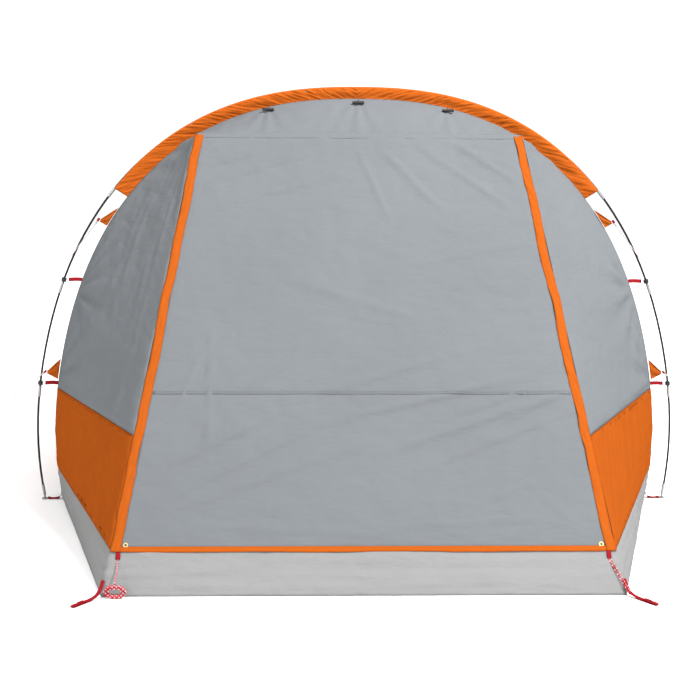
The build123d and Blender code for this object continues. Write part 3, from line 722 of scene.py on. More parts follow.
# ---- Stage ----
class TENT_OT_stage(bpy.types.Operator):
    """Camera, floor and soft studio light"""
    bl_idname = "tent.stage"
    bl_label = "Stage"

    def execute(self, context):
        data = bpy.data.cameras.new("camera")
        camera = bpy.data.objects.new("camera", data)
        context.collection.objects.link(camera)
        data.sensor_width = 36.0
        data.lens = 1253.8 * 36.0 / 700.0
        pitch, yaw, roll = 0.1744, -0.0267, 0.0062
        ahead = Vector((-math.cos(pitch) * math.sin(yaw), math.cos(pitch) * math.cos(yaw),
                        -math.sin(pitch)))
        level = Vector((math.cos(yaw), math.sin(yaw), 0))
        above = level.cross(ahead)
        right = math.cos(roll) * level + math.sin(roll) * above
        up = -math.sin(roll) * level + math.cos(roll) * above
        place = Matrix((right, up, -ahead)).transposed().to_4x4()
        place.translation = Vector((-0.159, HOOP_Y[0] - 4.998, 1.502))
        camera.matrix_world = place
        data.clip_start, data.clip_end = 0.05, 200.0
        context.scene.camera = camera

        bm = bmesh.new()
        bmesh.ops.create_grid(bm, x_segments=1, y_segments=1, size=60.0)
        bmesh.ops.translate(bm, verts=bm.verts, vec=(0, 0, -0.001))
        floor = mesh_piece("floor", bm)
        made = Surface("pale_floor", 0.9)
        objects = made.spread("Object")
        made.colour(made.blend(made.noise(objects, 0.6, 3.0), (0.86, 0.86, 0.86, 1), (0.90, 0.90, 0.90, 1)))
        floor.data.materials.append(made.material)

        world = bpy.data.worlds.new("studio")
        context.scene.world = world
        world.use_nodes = True
        world.node_tree.nodes["Background"].inputs[0].default_value = (1.0, 1.0, 1.0, 1)
        world.node_tree.nodes["Background"].inputs[1].default_value = 1.2
        for name, place, aim, size, power in (
            ("key", (3.3, -4.2, 6.6), (0.1, -1.2, 0.7), 1.4, 1200.0),
            ("fill", (-5.5, -6.0, 3.5), (0, -1.0, 0.7), 2.5, 200.0),
            ("rim", (1.0, 7.5, 6.0), (0, 0.5, 0.8), 3.0, 420.0),
        ):
            light = bpy.data.lights.new(name, "AREA")
            light.size = size
            light.energy = power
            lamp = bpy.data.objects.new(name, light)
            context.collection.objects.link(lamp)
            aimed = (Vector(aim) - Vector(place)).to_track_quat("-Z", "Y").to_matrix().to_4x4()
            lamp.matrix_world = Matrix.Translation(place) @ aimed
        context.scene.view_settings.view_transform = "Standard"
        return {"FINISHED"}


# ---- Cords ----
class TENT_OT_cords(bpy.types.Operator):
    """Guylines, and the two cords at the sill, one wound in a hank"""
    bl_idname = "tent.cords"
    bl_label = "Cords"

    def execute(self, context):
        sizes = context.scene.tent_sizes
        for level, (start, end) in GUY_ROUTES.items():
            for side, hand in SIDES:
                a, b = Vector((side * start.x, start.y, start.z)), Vector((side * end.x, end.y, end.z))
                run = (b - a).normalized() * (6 * sizes.guyline)
                line = cord_curve(f"guyline_{level}_{hand}", [a, a + run, b - run, b], sizes.guyline)
                put_on(line, "guy_cord")
                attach(line, "tent")
                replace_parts(line, f"guyline_{level}_{hand}")

        hank_low, hank_high = (Vector(c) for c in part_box("awning_hank_left"))
        heart = (hank_low + hank_high) / 2
        wound = list(LEFT_CORD[:-1])
        half = (hank_high - hank_low) / 2
        ply = sizes.cord + 0.0005
        for layer in range(4):
            wide, tall = half.x - 0.0020 - 1.25 * ply * (3 - layer), half.z - 0.0022 - 0.85 * ply * (3
                    - layer) * 0.8
            for i in range(42):
                angle = math.pi / 2 - 2 * math.pi * i / 14
                share = i / 42 if layer % 2 else 1 - i / 42
                y = heart.y + (share - 0.5) * 3.2 * ply
                x = wide * math.copysign(abs(math.cos(angle)) ** 0.8, math.cos(angle))
                z = tall * math.copysign(abs(math.sin(angle)) ** 0.9, math.sin(angle))
                wound.append((heart.x + x, y, heart.z + z + 0.0012 * math.sin(3 * angle + layer)))
        cord = cord_curve("awning_cord_left", wound, sizes.cord)
        put_on(cord, "sill_cord")
        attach(cord, "tent")
        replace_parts(cord, "awning_cord_left", "awning_hank_left")
        bm = bmesh.new()
        end = Vector(wound[-1])
        for i in range(3):
            add_ring(bm, end + Vector((0.002 * (i - 1), 0, 0)), (1, 0.2, 0), 0.0022, 0.0016, 16, 8)
        knot = mesh_piece("awning_cord_left_knot", bm)
        put_on(knot, "sill_cord")
        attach(knot, "tent")
        curve_length(cord)

        cord = cord_curve("awning_cord_right", RIGHT_CORD, sizes.cord)
        put_on(cord, "sill_cord")
        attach(cord, "tent")
        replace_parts(cord, "awning_cord_right")
        curve_length(cord)
        return {"FINISHED"}


# ---- Sleeves ----
class TENT_OT_sleeves(bpy.types.Operator):
    """Gathered cloth sleeves over the three hoops"""
    bl_idname = "tent.sleeves"
    bl_label = "Pole sleeves"

    def execute(self, context):
        for hoop, name in enumerate(HOOP_NAMES):
            half, top = fly(hoop)
            start = angle_at_z(HOOP_TOP[hoop], SLEEVE_END * HOOP_TOP[hoop] / HOOP_TOP[0])
            crest = arch_run(HOOP_HALF[hoop], HOOP_TOP[hoop], start, math.pi - start, SLEEVE_RISE)
            foot = arch_run(half, top, start, math.pi - start, SLEEVE_SEAT)
            shares = (0.0, 0.10, 0.22, 0.36, 0.50, 0.64, 0.76, 0.86, 0.93, 0.98)
            ring = [(s, -1) for s in shares] + [(1.0, 0)] + [(s, 1) for s in reversed(shares)]

            def skin(u, v, ring=ring, crest=crest, foot=foot, hoop=hoop):
                place = u * (len(ring) - 1)
                i = min(int(place), len(ring) - 2)
                f = place - i
                s = ring[i][0] + (ring[i + 1][0] - ring[i][0]) * f
                face = ring[i][1] + (ring[i + 1][1] - ring[i][1]) * f
                x1, z1 = crest(v)
                x0, z0 = foot(v)
                reach = math.hypot(x1 - x0, z1 - z0)
                away = (1 - s) * reach
                depth = 0.0016 + (SLEEVE_HALF_DEPTH - 0.0016) * smooth(s * reach, 0.002, reach - 0.016)
                depth *= math.sqrt(max(0.0, 1 - max(0.0, 1 - away / 0.008) ** 2))
                pucker = 0.0
                if 0.02 < s < 0.995:
                    lean = v * 150.0 + (s - 0.5) * (6.0 if x1 > 0 else
                                                    -6.0) + 3.0 * noise.noise(Vector((v * 9, hoop, 0)))
                    pucker = 0.9 * noise.noise(Vector((lean, s * 1.4, hoop * 3 + (face > 0) * 7)))
                    pucker += 0.5 * noise.noise(Vector((lean * 2.3, s * 2.0, hoop + 5)))
                    pucker *= 0.0046 * min(1.0, s / 0.08, (1.0 - s) / 0.12)
                y = HOOP_Y[hoop] + face * (depth + pucker)
                return Vector((x0 + (x1 - x0) * s, y, z0 + (z1 - z0) * s))

            piece = cloth_sheet(f"{name}_pole_sleeve", skin, tunnel_out, size=(2 * len(ring), 560),
                                thickness=0.0007)
            # The sleeve takes the lighter orange of painted light.
            hang(piece, "fly_orange", nodes=[f"{name}_pole_sleeve"],
                 finish="sleeve")
            binding = []
            for end in (0.0, 1.0):
                def cuff(u, v, skin=skin, end=end):
                    p = skin(u, abs(end - 0.006 * v))
                    return p + Vector((0, math.copysign(0.0007, p.y - HOOP_Y[hoop]), 0))
                edge = cloth_sheet("cuff", cuff, tunnel_out, size=(36, 3), thickness=0.0008)
                # The cuff takes the lighter orange of painted light.
                binding.append(hang(edge, "fly_orange", finish="hem"))
            binding[0].name, binding[1].name = f"{name}_sleeve_cuff_right", f"{name}_sleeve_cuff_left"
        return {"FINISHED"}


# ---- Bays ----
class TENT_OT_bays(bpy.types.Operator):
    """Roof and lower panels between the hoops, with their seam tapes"""
    bl_idname = "tent.bays"
    bl_label = "Bays"

    def execute(self, context):
        sizes = context.scene.tent_sizes
        for bay, a, b in (("front_bay", 0, 1), ("rear_bay", 1, 2)):
            ends = []
            for hoop in (a, b):
                half, top = fly(hoop)
                seam = angle_at_z(top, BAND_TOP + SEAM)
                ends.append((arch_run(half, top, seam, math.pi - seam),
                             arch_run(half, top, angle_at_z(top, STRIP_TOP + SEAM),
                                      angle_at_z(top, BAND_TOP - SEAM))))
            y0, y1 = HOOP_Y[a] + SEAM, HOOP_Y[b] - SEAM

            def roof(u, v, ends=ends, y0=y0, y1=y1):
                x0, z0 = ends[0][0](v)
                x1, z1 = ends[1][0](v)
                return Vector((x0 + (x1 - x0) * u, y0 + (y1 - y0) * u, z0 + (z1 - z0) * u))

            rough = crumpled(sizes.crumple, 3.0 + a, (2.0, 16.0, 0.0024))

            def slack(u, v, p, rough=rough):
                dip = -sizes.sag * math.sin(math.pi * u) ** 0.8 * smooth(min(v, 1 - v), 0.0, 0.12)
                pull = 0.0
                for mark in (0.06, 0.13, 0.87, 0.94):
                    near = math.exp(-((v - mark) / 0.05) ** 2)
                    pull += near * 0.004 * math.sin((v - mark) * 260 * (1 - 0.7 * abs(u - 0.5))) * abs(2
                            * u - 1)
                return dip + rough(u, v, p) + pull

            piece = cloth_sheet(f"{bay}_roof", roof, tunnel_out, slack, fade=0.05)
            hang(piece, "fly_grey", nodes=[f"{bay}_roof"])
            for side, hand in SIDES:
                def lower(u, v, ends=ends, y0=y0, y1=y1, side=side):
                    x0, z0 = ends[0][1](v)
                    x1, z1 = ends[1][1](v)
                    return Vector((side * (x0 + (x1 - x0) * u), y0 + (y1 - y0) * u, z0 + (z1 - z0) * u))

                rough = crumpled(sizes.crumple * 1.2, 11.0 + a + side, (14.0, 1.4, 0.0030))
                piece = cloth_sheet(f"{bay}_lower_{hand}", lower, tunnel_out, rough)
                hang(piece, "fly_orange", nodes=[f"{bay}_lower_{hand}"])
                tape(f"{bay}_band_seam_{hand}", lower, tunnel_out, (0.0, 1.0), (1.0, 0.965), "fly_orange",
                     "tape_orange")
                tape(f"{bay}_strip_seam_{hand}", lower, tunnel_out, (0.0, 0.035), (1.0, 0.0), "fly_orange",
                     "tape_orange")
        return {"FINISHED"}


# ---- Sloping ends ----
def side_surface(end, side, low, high, arch_high):
    """The ruled panel between the hoop and the middle panel's edge."""
    run = arch_run(end.half, end.crown, angle_at_z(end.crown, low), arch_high)
    y = HOOP_Y[end.hoop] + end.facing * SEAM

    def at(u, v):
        z = low + (high - low) * v
        x, arch_z = run(v)
        inner = Vector((side * (end.half_at(z) + end.out), end.y_at(z), z))
        return inner.lerp(Vector((side * x, y, arch_z)), u)

    return at


def make_sides(end, label, nodes):
    """Upper and lower side panels of one sloping end."""
    sizes = bpy.context.scene.tent_sizes
    arch_top = angle_at_x(end.half, end.half_at(end.top) + end.out)
    band_angle = angle_at_z(end.crown, BAND_TOP - SEAM)
    for side, hand in SIDES:
        upper = side_surface(end, side, BAND_TOP + SEAM, end.top, arch_top)
        lower = side_surface(end, side, STRIP_TOP + SEAM, BAND_TOP - SEAM, band_angle)
        rough = crumpled(sizes.crumple * 1.4, 21.0 + side + end.facing, (7.0, 2.2, 0.0030))

        def upper_folds(u, v, p, side=side, rough=rough, upper=upper):
            d = rough(u, v, p) - 0.010 * math.sin(math.pi * u) * math.sin(math.pi * min(v * 1.15, 1.0))
            for mark, spread in ((0.335, 0.10), (0.03, 0.10)):
                fan = math.atan2(v - mark, 1.02 - u)
                near = math.exp(-((1 - u) / 0.42) ** 2) * math.exp(-((v - mark) / spread / 1.8) ** 2)
                d += 0.0085 * near * math.sin(fan * 15 + side) * smooth(1 - u, 0.02, 0.10)
            top = math.exp(-((1 - v) / 0.22) ** 2) * math.exp(-((u - 0.8) / 0.4) ** 2)
            d += 0.0046 * top * math.sin(v * 70 + u * 5)
            base = math.exp(-(v / 0.14) ** 2)
            d += 0.0060 * base * (0.6 - 1.4
                                  * abs(noise.noise(Vector((u * 17 + v * 5, 0.4 * v, side + 3.0)))))
            return d

        piece = cloth_sheet(f"{label}_side_upper_{hand}", upper, end.outward, upper_folds, fade=0.025)
        hang(piece, "fly_grey", nodes=[nodes[0].format(hand)])

        def lower_folds(u, v, p, side=side):
            fan = u * 15 - v * (4.2 - 6 * u) + side
            long = 0.0080 * (0.5 - 1.3 * abs(noise.noise(Vector((fan, v * 0.5, side * 4.0)))))
            return long + rough(u, v, p) * 0.7 - 0.004 * math.sin(math.pi * u)

        piece = cloth_sheet(f"{label}_side_lower_{hand}", lower, end.outward, lower_folds, fade=0.018)
        hang(piece, "fly_orange", nodes=[nodes[1].format(hand)])
        tape(f"{label}_band_seam_{hand}", lower, end.outward, (0.0, 1.0), (1.0, 0.955), "fly_orange",
             "tape_orange")
        tape(f"{label}_strip_seam_{hand}", lower, end.outward, (0.0, 0.045), (1.0, 0.0), "fly_orange",
             "tape_orange")


def header_surface(end, gap):
    """The panel from the middle panel's top edge up to the hoop."""
    start = angle_at_x(end.half, end.top_half + end.out) + 0.0005
    run = arch_run(end.half, end.crown, start, math.pi - start)
    z = end.top + gap
    half = end.half_at(z) + end.out - 0.0008
    y = HOOP_Y[end.hoop] + end.facing * SEAM

    def at(u, v):
        x, arch_z = run(1 - u)
        low = Vector(((2 * u - 1) * half, end.y_at(z), z))
        return low.lerp(Vector((x, y, arch_z)), v)

    return at


class TENT_OT_front_sides(bpy.types.Operator):
    """Side panels and header of the sloping front"""
    bl_idname = "tent.front_sides"
    bl_label = "Front sides"

    def execute(self, context):
        sizes = context.scene.tent_sizes
        make_sides(FRONT, "front", ("front_side_upper_{}", "front_side_lower_{}"))
        rough = crumpled(sizes.crumple * 1.1, 40.0)

        def folds(u, v, p):
            d = rough(u, v, p)
            for mark in (-TOGGLE_X, 0.0, TOGGLE_X):
                near = math.exp(-((p.x - mark) / 0.10) ** 2)
                fan = math.atan2(1.06 - v, (p.x - mark) * 9)
                d += 0.0024 * near * math.sin(fan * 9) * smooth(1 - v, 0.03, 0.3)
            return d

        piece = cloth_sheet("front_header", header_surface(FRONT, 0.003), FRONT.outward, folds, fade=0.012,
                            size=(150, 22))
        hang(piece, "fly_grey", nodes=["front_header"])
        return {"FINISHED"}


# ---- Front door ----
DOOR_LOW = FRONT.rise(STRIP_TOP + 0.003)
DOOR_HIGH = -0.0015


def door_surface(u, v):
    rise = DOOR_LOW + (DOOR_HIGH - DOOR_LOW) * v
    return FRONT.on((2 * u - 1) * FRONT.half_at(FRONT.top + rise * FRONT.up.z), rise)


DOOR_CREASES = [
    ((0.78, 0.62), (0.02, 0.40), 0.020, 0.0042), ((0.62, 0.66), (-0.15, 0.50), 0.016, 0.0034),
    ((0.74, 0.55), (0.20, 0.36), 0.014, 0.0028), ((0.40, 0.74), (-0.30, 0.56), 0.020, 0.0026),
    ((0.66, 0.63), (0.30, 0.52), 0.008, 0.0024), ((0.70, 0.60), (0.45, 0.49), 0.007, 0.0022),
    ((-0.74, 0.34), (-0.20, 0.58), 0.018, 0.0034), ((-0.66, 0.28), (-0.10, 0.52), 0.014, 0.0028),
    ((-0.72, 0.22), (0.05, 0.46), 0.022, 0.0026), ((-0.55, 0.76), (-0.66, 0.50), 0.010, 0.0020),
    ((-0.535, 0.82), (-0.530, 0.36), 0.006, 0.0030), ((-0.42, 0.60), (-0.20, 0.72), 0.009, 0.0022),
    ((-0.60, 1.36), (-0.28, 1.44), 0.010, 0.0030), ((-0.58, 1.30), (-0.16, 1.42), 0.012, 0.0028),
    ((-0.52, 1.22), (-0.05, 1.34), 0.014, 0.0022), ((0.36, 1.45), (0.60, 1.30), 0.010, 0.0034),
    ((0.30, 1.46), (0.60, 1.36), 0.008, 0.0030), ((0.22, 1.44), (0.58, 1.20), 0.014, 0.0028),
    ((0.05, 1.46), (0.35, 1.16), 0.016, 0.0022), ((-0.02, 1.46), (0.12, 1.14), 0.012, 0.0022),
    ((0.10, 1.00), (0.64, 1.10), 0.022, 0.0020), ((-0.30, 0.98), (0.25, 0.82), 0.024, 0.0020),
    ((0.58, 0.30), (0.72, 0.20), 0.008, 0.0020), ((0.40, 0.26), (0.58, 0.33), 0.007, 0.0018),
    ((-0.60, 0.20), (0.10, 0.17), 0.010, 0.0022), ((-0.05, 0.19), (0.70, 0.22), 0.010, 0.0020),
]


class TENT_OT_front_door(bpy.types.Operator):
    """The sloping door with its seam, hem and storm flaps"""
    bl_idname = "tent.front_door"
    bl_label = "Front door"

    def execute(self, context):
        sizes = context.scene.tent_sizes
        rough = crumpled(sizes.crumple * 0.9, 55.0, (2.6, 8.0, 0.0016))
        creases = []
        for (x0, z0), (x1, z1), width, depth in DOOR_CREASES:
            creases.append((FRONT.on(x0, FRONT.rise(z0)), FRONT.on(x1, FRONT.rise(z1)), width, 2.8 * depth))
        seam_y = FRONT.rise(DOOR_SEAM_Z)

        def folds(u, v, p):
            d = rough(u, v, p) * (1.0 + 0.35 * smooth(v, 0.5, 1.0))
            for item in creases:
                d += crease(p, *item)
            rise = DOOR_LOW + (DOOR_HIGH - DOOR_LOW) * v
            d -= 0.0016 * math.exp(-((rise - seam_y) / 0.010) ** 2)
            gather = math.exp(-(abs(rise - seam_y) / 0.045) ** 1.2)
            d += 0.0010 * gather * noise.noise(Vector((p.x * 70, rise * 6, 2.0)))
            return d * smooth(rise - DOOR_LOW, 0.004, 0.060)

        door = cloth_sheet("front_door", door_surface, FRONT.outward, folds, fade=0.022)
        hang(door, "fly_grey", "front_door", ["front_door"])

        seam_share = (seam_y - DOOR_LOW) / (DOOR_HIGH - DOOR_LOW)

        def wavy(u, v):
            p = door_surface(u, v)
            return p + FRONT.normal * (folds(u, v, p) * smooth(min(u, 1 - u) * 1.5, 0.0, 0.03))

        tape("front_door_seam", wavy, FRONT.outward, (0.008, seam_share - 0.0040),
             (0.992, seam_share + 0.0040),
             body="front_door", lift=0.0009)

        head = header_surface(FRONT, 0.003)

        def seam(u, v):
            if v < 0.5:
                rise = DOOR_HIGH - 0.012 * (1 - 2 * v)
                p = FRONT.on((2 * u - 1) * FRONT.half_at(FRONT.top + rise * FRONT.up.z), rise)
            else:
                p = head(u, (2 * v - 1) * 0.055)
            return p + FRONT.normal * 0.0016

        piece = cloth_sheet("front_head_seam", seam, FRONT.outward, size=(150, 8), thickness=0.0007)
        put_on(piece, "fly_grey")
        seam(0.5, 0.32)
        seam(0.5, 0.68)
        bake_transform(piece)
        low_half = FRONT.half_at(STRIP_TOP + 0.003)

        def hem(u, v):
            rise = DOOR_LOW - 0.012 + 0.019 * v
            half = low_half + 0.004 - 0.006 * v
            x = (2 * u - 1) * half
            fall = 0.0024 * noise.noise(Vector((x * 4.0, 0, 0))) + 0.0012 * noise.noise(Vector((x * 15.0, v,
                                                                                                3.0)))
            curl = max(0.0, noise.noise(Vector((x * 7.0, 0, 8.0)))) * (1 - v) * 0.006
            off = 0.0030 + 0.0012 * math.sin(math.pi * v) + curl + 0.0006 * noise.noise(Vector((x * 60,
                    v * 3, 8.0)))
            return FRONT.on(x, rise + (1 - v) * fall, off)

        piece = cloth_sheet("door_hem", hem, FRONT.outward, size=(300, 8), thickness=0.0009)
        # The door hem takes the lighter orange of painted light.
        hang(piece, "fly_orange", "front_door", ["door_hem"], finish="hem")

        for side, hand in SIDES:
            low = DOOR_LOW - 0.011

            def flap(u, v, side=side, low=low):
                rise = low + (DOOR_HIGH - low) * u
                half = FRONT.half_at(FRONT.top + rise * FRONT.up.z)
                sway = 0.0060 * noise.noise(Vector((rise * 5.0, side * 3.0, 0.0)))
                sway += 0.0030 * noise.noise(Vector((rise * 14.0, side * 5.0, 1.0)))
                twist = max(0.0, noise.noise(Vector((rise * 7.5, side * 9.0, 4.0)))) * (1.4 if side > 0
                                                                                        else 0.8)
                inside = half - FLAP_OVERLAP + (sway + 0.006 * twist) * smooth(u, 0.0, 0.05) * smooth(1 - u,
                        0.0, 0.05)
                x = inside + FLAP_WIDTH * (1 - 0.18 * twist) * v
                crown = math.sin(math.pi * v)
                off = 0.0026 + 0.0030 * (1 - smooth(u, 0.01,
                        0.03)) + 0.0030 * crown * (0.4 + abs(noise.noise(Vector((rise * 11, side, 2.0)))))
                off += 0.0060 * twist * (1 - v) ** 2 * smooth(u, 0.0, 0.08)
                off += 0.0030 * noise.noise(Vector((rise * 22 + v * 1.5, v * 2.2, side * 2.0)))
                return FRONT.on(side * x, rise, max(off, 0.0016))

            piece = cloth_sheet(f"storm_flap_{hand}", flap, FRONT.outward, size=(330, 9), thickness=0.0008)
            # The storm flap takes the lighter orange of painted light.
            hang(piece, "fly_orange", "front_door", [f"storm_flap_{hand}"], finish="flap")
        return {"FINISHED"}


# ---- Zips ----
class TENT_OT_zips(bpy.types.Operator):
    """Zip tapes with their coils, and a pull on each slider"""
    bl_idname = "tent.zips"
    bl_label = "Zips"

    def execute(self, context):
        low, high = FRONT.rise(STRIP_TOP + 0.003), FRONT.rise(FRONT.top - 0.003)
        for side, hand in SIDES:
            def ribbon(u, v, side=side):
                rise = low + (high - low) * u
                half = FRONT.half_at(FRONT.top + rise * FRONT.up.z) + 0.003
                return FRONT.on(side * (half + 0.020 * v), rise, -0.0006)

            piece = cloth_sheet(f"door_zip_{hand}", ribbon, FRONT.outward, size=(120, 4), thickness=0.0008)
            hang(piece, "zip_tape", nodes=[f"door_zip_{hand}"])

            def coil(u, v, side=side):
                rise = low + (high - low) * u
                half = FRONT.half_at(FRONT.top + rise * FRONT.up.z) + 0.0048
                angle = 2 * math.pi * v
                swell = 1.0 + 0.22 * math.cos(2 * math.pi * u * 260)
                return FRONT.on(side * (half + 0.0019 * math.cos(angle)), rise,
                                -0.0008 + 0.0011 * swell * math.sin(angle))

            piece = cloth_sheet(f"zip_coil_{hand}", coil, FRONT.outward, size=(1560, 8), closed=True)
            hang(piece, "plastic_black", finish="zip_coil")

            slider = middle(f"zip_slider_{hand}")
            bm = bmesh.new()
            bmesh.ops.create_grid(bm, x_segments=4, y_segments=10, size=0.5)
            bmesh.ops.scale(bm, vec=(0.0075, 0.034, 1.0), verts=bm.verts)
            bmesh.ops.delete(bm, geom=[f for f in bm.faces if abs(f.calc_center_median().x) < 0.002
                                       and abs(f.calc_center_median().y + 0.009) < 0.0045], context="FACES")
            bmesh.ops.solidify(bm, geom=bm.faces[:], thickness=0.0012)
            place = Matrix.Translation(slider + FRONT.normal * -0.0036 - FRONT.up * 0.020)
            bmesh.ops.transform(bm, matrix=place @ turned(FRONT.normal), verts=bm.verts)
            pull = mesh_piece(f"zip_pull_{hand}", bm, False)
            put_on(pull, "plastic_black")
            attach(pull, f"zip_slider_{hand}")
        return {"FINISHED"}


# ---- Rear end ----
class TENT_OT_rear_end(bpy.types.Operator):
    """Sloping rear end with its netted vent and the flap over it"""
    bl_idname = "tent.rear_end"
    bl_label = "Rear end"

    def execute(self, context):
        sizes = context.scene.tent_sizes
        make_sides(REAR, "rear", ("rear_side_upper_{}", "rear_side_lower_{}"))
        low = REAR.rise(STRIP_TOP + 0.002)
        vent = REAR.rise(VENT_Z)

        def at(u, v):
            rise = low - low * v
            return REAR.on((2 * u - 1) * REAR.half_at(REAR.top + rise * REAR.up.z), rise)

        def in_vent(p):
            flat = p - REAR.origin
            return abs(flat.x) < VENT_WIDTH / 2 and abs(flat.dot(REAR.up) - vent) < VENT_HEIGHT / 2

        rough = crumpled(sizes.crumple * 1.1, 71.0)

        def surface(u, v):
            p = at(u, v)
            flat = p - REAR.origin
            calm = max(abs(flat.x) - VENT_WIDTH / 2, abs(flat.dot(REAR.up) - vent) - VENT_HEIGHT / 2)
            edge = smooth(min(u, 1 - u, v, 1 - v), 0.0, 0.03) * smooth(calm, 0.0, 0.05)
            return p + REAR.normal * (rough(u, v, p) * edge)

        panel = cloth_sheet("rear_end_panel", surface, REAR.outward, drop=in_vent)
        hang(panel, "fly_grey", nodes=["rear_end_panel"])
        header = cloth_sheet("rear_header", header_surface(REAR, -0.001), REAR.outward,
                             crumpled(sizes.crumple, 73.0), fade=0.02)
        hang(header, "fly_grey")
        wide, tall = VENT_WIDTH / 2 + VENT_MARGIN, VENT_HEIGHT / 2 + VENT_MARGIN

        def net(u, v):
            return REAR.on((2 * u - 1) * wide, vent + (2 * v - 1) * tall,
                           -0.0024 - 0.004 * math.sin(math.pi * u) * math.sin(math.pi * v))

        piece = cloth_sheet("rear_vent_mesh", net, REAR.outward, size=(60, 30), thickness=0.0005)
        hang(piece, "mesh_dark", nodes=["rear_vent_mesh"])

        def cover(u, v):
            x = (2 * u - 1) * wide
            rise = vent + (2 * v - 1) * tall
            puff = 0.004 * math.sin(math.pi * u) * math.sin(math.pi
                    * v) + 0.0014 * abs(noise.noise(Vector((x * 12, rise * 9, 1.0))))
            return REAR.on(x, rise, 0.0014 + puff)

        piece = cloth_sheet("rear_vent_flap", cover, REAR.outward, size=(70, 36))
        hang(piece, "fly_grey", "rear_vent_flap", ["rear_vent_flap"])
        tape("rear_vent_flap_hem", cover, REAR.outward, (0.0, 0.0), (1.0, 0.075), "fly_orange",
             "tape_orange",
             "rear_vent_flap", 0.0009)
        return {"FINISHED"}


# ---- Groundsheet ----
def footprint(z):
    """Corners of the base at height z, from the front right round to the front left."""
    right = [(FRONT.half_at(z) + FRONT.out, FRONT.y_at(z))]
    for hoop in (0, 1, 2):
        half, top = fly(hoop)
        right.append((arch_xz(half, top, angle_at_z(top, max(z, 0.001)))[0], HOOP_Y[hoop]))
    right.append((REAR.half_at(z) + REAR.out, REAR.y_at(z)))
    return right + [(-x, y) for x, y in reversed(right)]


class TENT_OT_groundsheet(bpy.types.Operator):
    """The pale tray: its floor and the upstand the fly is sewn to"""
    bl_idname = "tent.groundsheet"
    bl_label = "Groundsheet"

    def execute(self, context):
        base, brim = footprint(0.0), footprint(STRIP_TOP)
        marks = [0.0]
        ring = base + base[:1]
        for a, b in zip(ring, ring[1:]):
            marks.append(marks[-1] + math.dist(a, b))

        def wall(u, v):
            at = u * marks[-1]
            i = max(k for k in range(len(base)) if marks[k] <= at + 1e-9)
            f = (at - marks[i]) / (marks[i + 1] - marks[i])
            j = (i + 1) % len(base)
            low = (base[i][0] + (base[j][0] - base[i][0]) * f, base[i][1] + (base[j][1] - base[i][1]) * f)
            high = (brim[i][0] + (brim[j][0] - brim[i][0]) * f, brim[i][1] + (brim[j][1] - brim[i][1]) * f)
            return Vector((low[0] + (high[0] - low[0]) * v, low[1] + (high[1] - low[1]) * v,
                           0.0006 + (STRIP_TOP - 0.0006) * v))

        def ripples(u, v, p):
            at = u * marks[-1]
            d = 0.0062 * (0.45 - 1.2 * abs(noise.noise(Vector((at * 1.1, v * 4.2, 2.0)))))
            d += 0.0030 * (0.45 - 1.2 * abs(noise.noise(Vector((at * 3.0, v * 8.0, 5.0)))))
            d += 0.0008 * fold(p, 14.0, 4.0)
            return d

        piece = cloth_sheet("groundsheet_wall", wall, lambda p: Vector((p.x, p.y, 0)), ripples, fade=0.012,
                            size=(1150, 16))
        hang(piece, "ground_sheet", nodes=["groundsheet"])
        right = base[:5]

        def floor(u, v):
            y = right[0][1] + (right[-1][1] - right[0][1]) * v
            i = max(k for k in range(4) if right[k][1] <= y + 1e-9)
            f = (y - right[i][1]) / (right[i + 1][1] - right[i][1])
            half = right[i][0] + (right[i + 1][0] - right[i][0]) * f - 0.001
            return Vector(((2 * u - 1) * half, y + 0.001 * (0.5 - v), 0.0016))

        def lift(u, v, p):
            return max(0.0, 0.004 * fold(p, 2.2, 8.0) + 0.002 * fold(p, 6.0, 3.0))

        piece = cloth_sheet("groundsheet_floor", floor, lambda p: Vector((0, 0, 1)), lift, size=(130, 210))
        hang(piece, "ground_sheet")
        return {"FINISHED"}


# ---- Cabin ----
def cabin_size(y):
    share = min(max((y - HOOP_Y[1]) / (HOOP_Y[2] - HOOP_Y[1]), 0.0), 1.0)
    (wide_a, top_a), (wide_b, top_b) = fly(1), fly(2)
    return wide_a + (wide_b - wide_a) * share - CABIN_INSET, top_a + (top_b - top_a) * share - CABIN_INSET


def rounded(half, low, high, corner, grow=0.0):
    """A function giving the half width of a rounded rectangle at a height."""
    def at(z):
        edge = min(z - (low - grow), (high + grow) - z)
        reach = corner + grow
        if edge >= reach:
            return half + grow
        edge = max(edge, 0.0)
        return half + grow - reach + math.sqrt(max(0.0, reach ** 2 - (reach - edge) ** 2))
    return at


